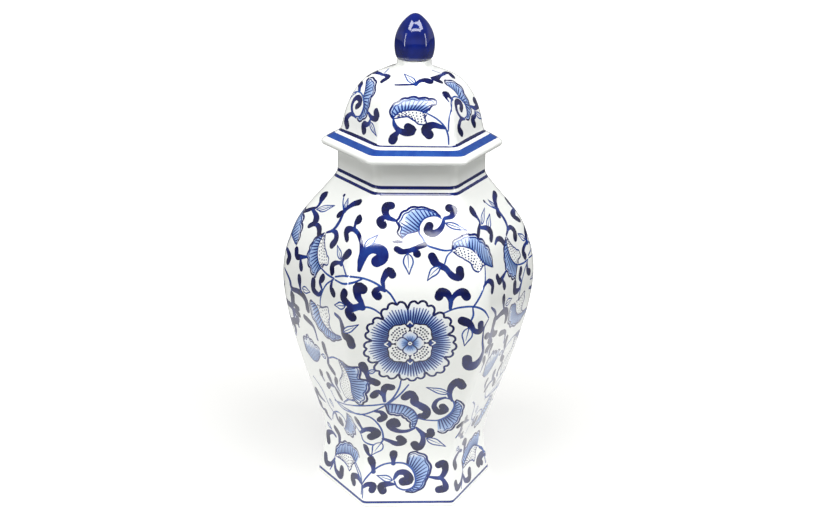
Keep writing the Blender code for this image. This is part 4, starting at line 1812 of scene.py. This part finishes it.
@dataclass
class Studio:
    """A sheet that looks white, on a table in a dim room, with a pool of light painted on it and glowing
    round the jar, soft lamps above the sides, and the camera.
    """

    azimuth: float = -3.8  # degrees, the camera's place round the jar
    elevation: float = 20.05  # degrees
    distance: float = 1.025  # m
    roll: float = 1.45  # degrees
    focal: float = 61.32  # mm
    aim: tuple[float, float] = (-0.0008, 0.171)  # m, to the right of the jar's axis, and up
    room: float = 0.16  # glow of the room overhead
    horizon: float = 0.34  # glow of the room low down
    haze: tuple[float, float] = (0.15, 0.4)  # where the low glow ends and the overhead one starts
    sheet_size: float = 8.0  # m, from its middle to its edge
    painted_light_patch: tuple[float, float] = (0.2, 0.32)  # m, where the painted pool of light on the sheet starts and ends to fade
    squash: float = 0.6  # the painted pool of light is this much shorter across than deep
    painted_light_papers: tuple[str, str] = ("6E6E6C", "B4B4B1")  # the sheet's colour: painted shade away from the jar, and painted light near it
    painted_glow_on_jar: tuple[float, float] = (0.04, 0.56)  # painted glow onto the jar from the shaded and the lit part, though the floor is no lamp
    seen: tuple[float, float] = (1.12, 0.56)  # glow of both parts in the picture itself
    lamp_aim: tuple[float, float, float] = (0.0, 0.0, 0.2)  # m
    lamps: tuple[Softbox, ...] = (
        Softbox("band", 4.0, 46.0, 1.5, (0.7, 0.2), 3.4),
        Softbox("left_key", -42.0, 60.0, 1.6, (0.8, 0.8), 16.5),
        Softbox("right_key", 42.0, 60.0, 1.6, (0.8, 0.8), 16.5),
        Softbox("left_strip", -68.0, 14.0, 1.5, (0.16, 0.9), 4.5),
        Softbox("right_strip", 64.0, 14.0, 1.5, (0.16, 0.9), 4.5),
    )

    def build(self) -> None:
        """Builds the floor, the lights, the world and the camera."""
        self.floor()
        for lamp in self.lamps:
            lamp.build(Vector(self.lamp_aim))
        self.world()
        self.camera()

    def floor(self) -> None:
        """A plain floor with a pool of light painted round the jar.

        Its colour is painted paler round the jar and darker away from it, and it glows, more strongly round
        the jar, though it is no lamp. It looks white all over in a picture, and its painted glow lights the
        jar and mirrors in the glaze as a painted lit patch in a darker room.
        lit patch in a darker room.
        """
        mesh = bpy.data.meshes.new("floor")
        bm = bmesh.new()
        bmesh.ops.create_grid(bm, x_segments=1, y_segments=1, size=self.sheet_size)
        bm.to_mesh(mesh)
        bm.free()
        floor = bpy.data.objects.new("floor", mesh)
        material, shader, place = start_finish("paper_sweep_painted_light")
        tree = material.node_tree
        shader.inputs["Roughness"].default_value = 0.9
        shader.inputs["Specular IOR Level"].default_value = 0.0
        # The sheet's colour and glow are painted light: paler and glowing round the jar, painted shade away
        # from it.
        squashed = add(tree, "ShaderNodeVectorMath", {"operation": "MULTIPLY", 1: (self.squash, 1.0, 1.0)},
                       {0: place})
        reach = add(tree, "ShaderNodeVectorMath", {"operation": "LENGTH"}, {0: squashed.outputs[0]})
        fade = {"From Min": self.painted_light_patch[0], "From Max": self.painted_light_patch[1], "To Min": 1.0, "To Max": 0.0}
        painted_light_patch = add(tree, "ShaderNodeMapRange", fade, {"Value": reach.outputs["Value"]}).outputs[0]
        dark, pale = (linear(paper) for paper in self.painted_light_papers)
        colour = add(tree, "ShaderNodeMix", {"data_type": "RGBA", 6: dark, 7: pale}, {0: painted_light_patch})
        painted_glow_on_jar, seen = (add(tree, "ShaderNodeMapRange", {"To Min": far, "To Max": near}, {"Value": painted_light_patch})
                       for far, near in (self.painted_glow_on_jar, self.seen))
        # The floor glows though it is no lamp: painted light onto the jar, and white where the camera sees
        # it.
        eye = add(tree, "ShaderNodeLightPath").outputs["Is Camera Ray"]
        glow = add(tree, "ShaderNodeMix", {"data_type": "FLOAT"},
                   {0: eye, 2: painted_glow_on_jar.outputs[0], 3: seen.outputs[0]})
        shader.inputs["Emission Color"].default_value = linear("FFFFFF")
        tree.links.new(colour.outputs[2], shader.inputs["Base Color"])
        tree.links.new(glow.outputs[0], shader.inputs["Emission Strength"])
        mesh.materials.append(material)
        bpy.context.scene.collection.objects.link(floor)

    def world(self) -> None:
        """A dim room, a little brighter at the horizon, white where the camera sees it."""
        world = bpy.data.worlds.new("studio_room")
        world.use_nodes = True
        tree = world.node_tree
        background = tree.nodes["Background"]
        way = add(tree, "ShaderNodeTexCoord").outputs["Generated"]
        up = add(tree, "ShaderNodeSeparateXYZ", links={0: way}).outputs["Z"]
        low, high = self.haze
        fade = {"From Min": low, "From Max": high, "To Min": self.horizon, "To Max": self.room}
        fall = add(tree, "ShaderNodeMapRange", fade, {"Value": up})
        eye = add(tree, "ShaderNodeLightPath").outputs["Is Camera Ray"]
        glow = add(tree, "ShaderNodeMix", {"data_type": "FLOAT", 3: 1.0}, {0: eye, 2: fall.outputs[0]})
        tree.links.new(glow.outputs[0], background.inputs["Strength"])
        background.inputs["Color"].default_value = linear("FFFEFA")
        scene = bpy.context.scene
        scene.world = world
        scene.view_settings.view_transform = "Standard"

    def camera(self) -> None:
        """The camera, a little left of the front and above it, slightly rolled."""
        a, e = math.radians(self.azimuth), math.radians(self.elevation)
        back = Vector((math.sin(a) * math.cos(e), -math.cos(a) * math.cos(e), math.sin(e)))
        side, height = self.aim
        target = Vector((side * math.cos(a), side * math.sin(a), height))
        data = bpy.data.cameras.new("camera")
        data.lens = self.focal
        data.sensor_width = 36.0
        camera = bpy.data.objects.new("camera", data)
        turn = (-back).to_track_quat("-Z", "Y").to_matrix() @ Matrix.Rotation(math.radians(self.roll), 3, "Z")
        camera.matrix_world = Matrix.Translation(target + back * self.distance) @ turn.to_4x4()
        bpy.context.scene.collection.objects.link(camera)
        bpy.context.scene.camera = camera


def hand_over(piece: bpy.types.Object, body: str, node: str) -> None:
    """Ties a finished piece to the frame and reports it.

    Args:
        piece: The finished piece.
        body: The moving body it rides on.
        node: The plain solid it stands for.
    """
    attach(piece, body)
    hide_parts(node)
    LOG.info("%s rides on %s for %s", piece.name, body, node)


def main() -> None:
    """Builds the jar, the lid, the finial and the studio."""
    logging.basicConfig(level=logging.INFO, format="%(message)s")
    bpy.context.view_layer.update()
    painted = PaintedGlaze().build()
    hand_over(JarBody().build(painted, Biscuit().build()), "jar", "jar_body")
    hand_over(Lid().build(painted), "lid", "lid")
    hand_over(Finial().build(CobaltGlaze().build()), "lid", "finial")
    Studio().build()


if __name__ == "__main__":
    main()
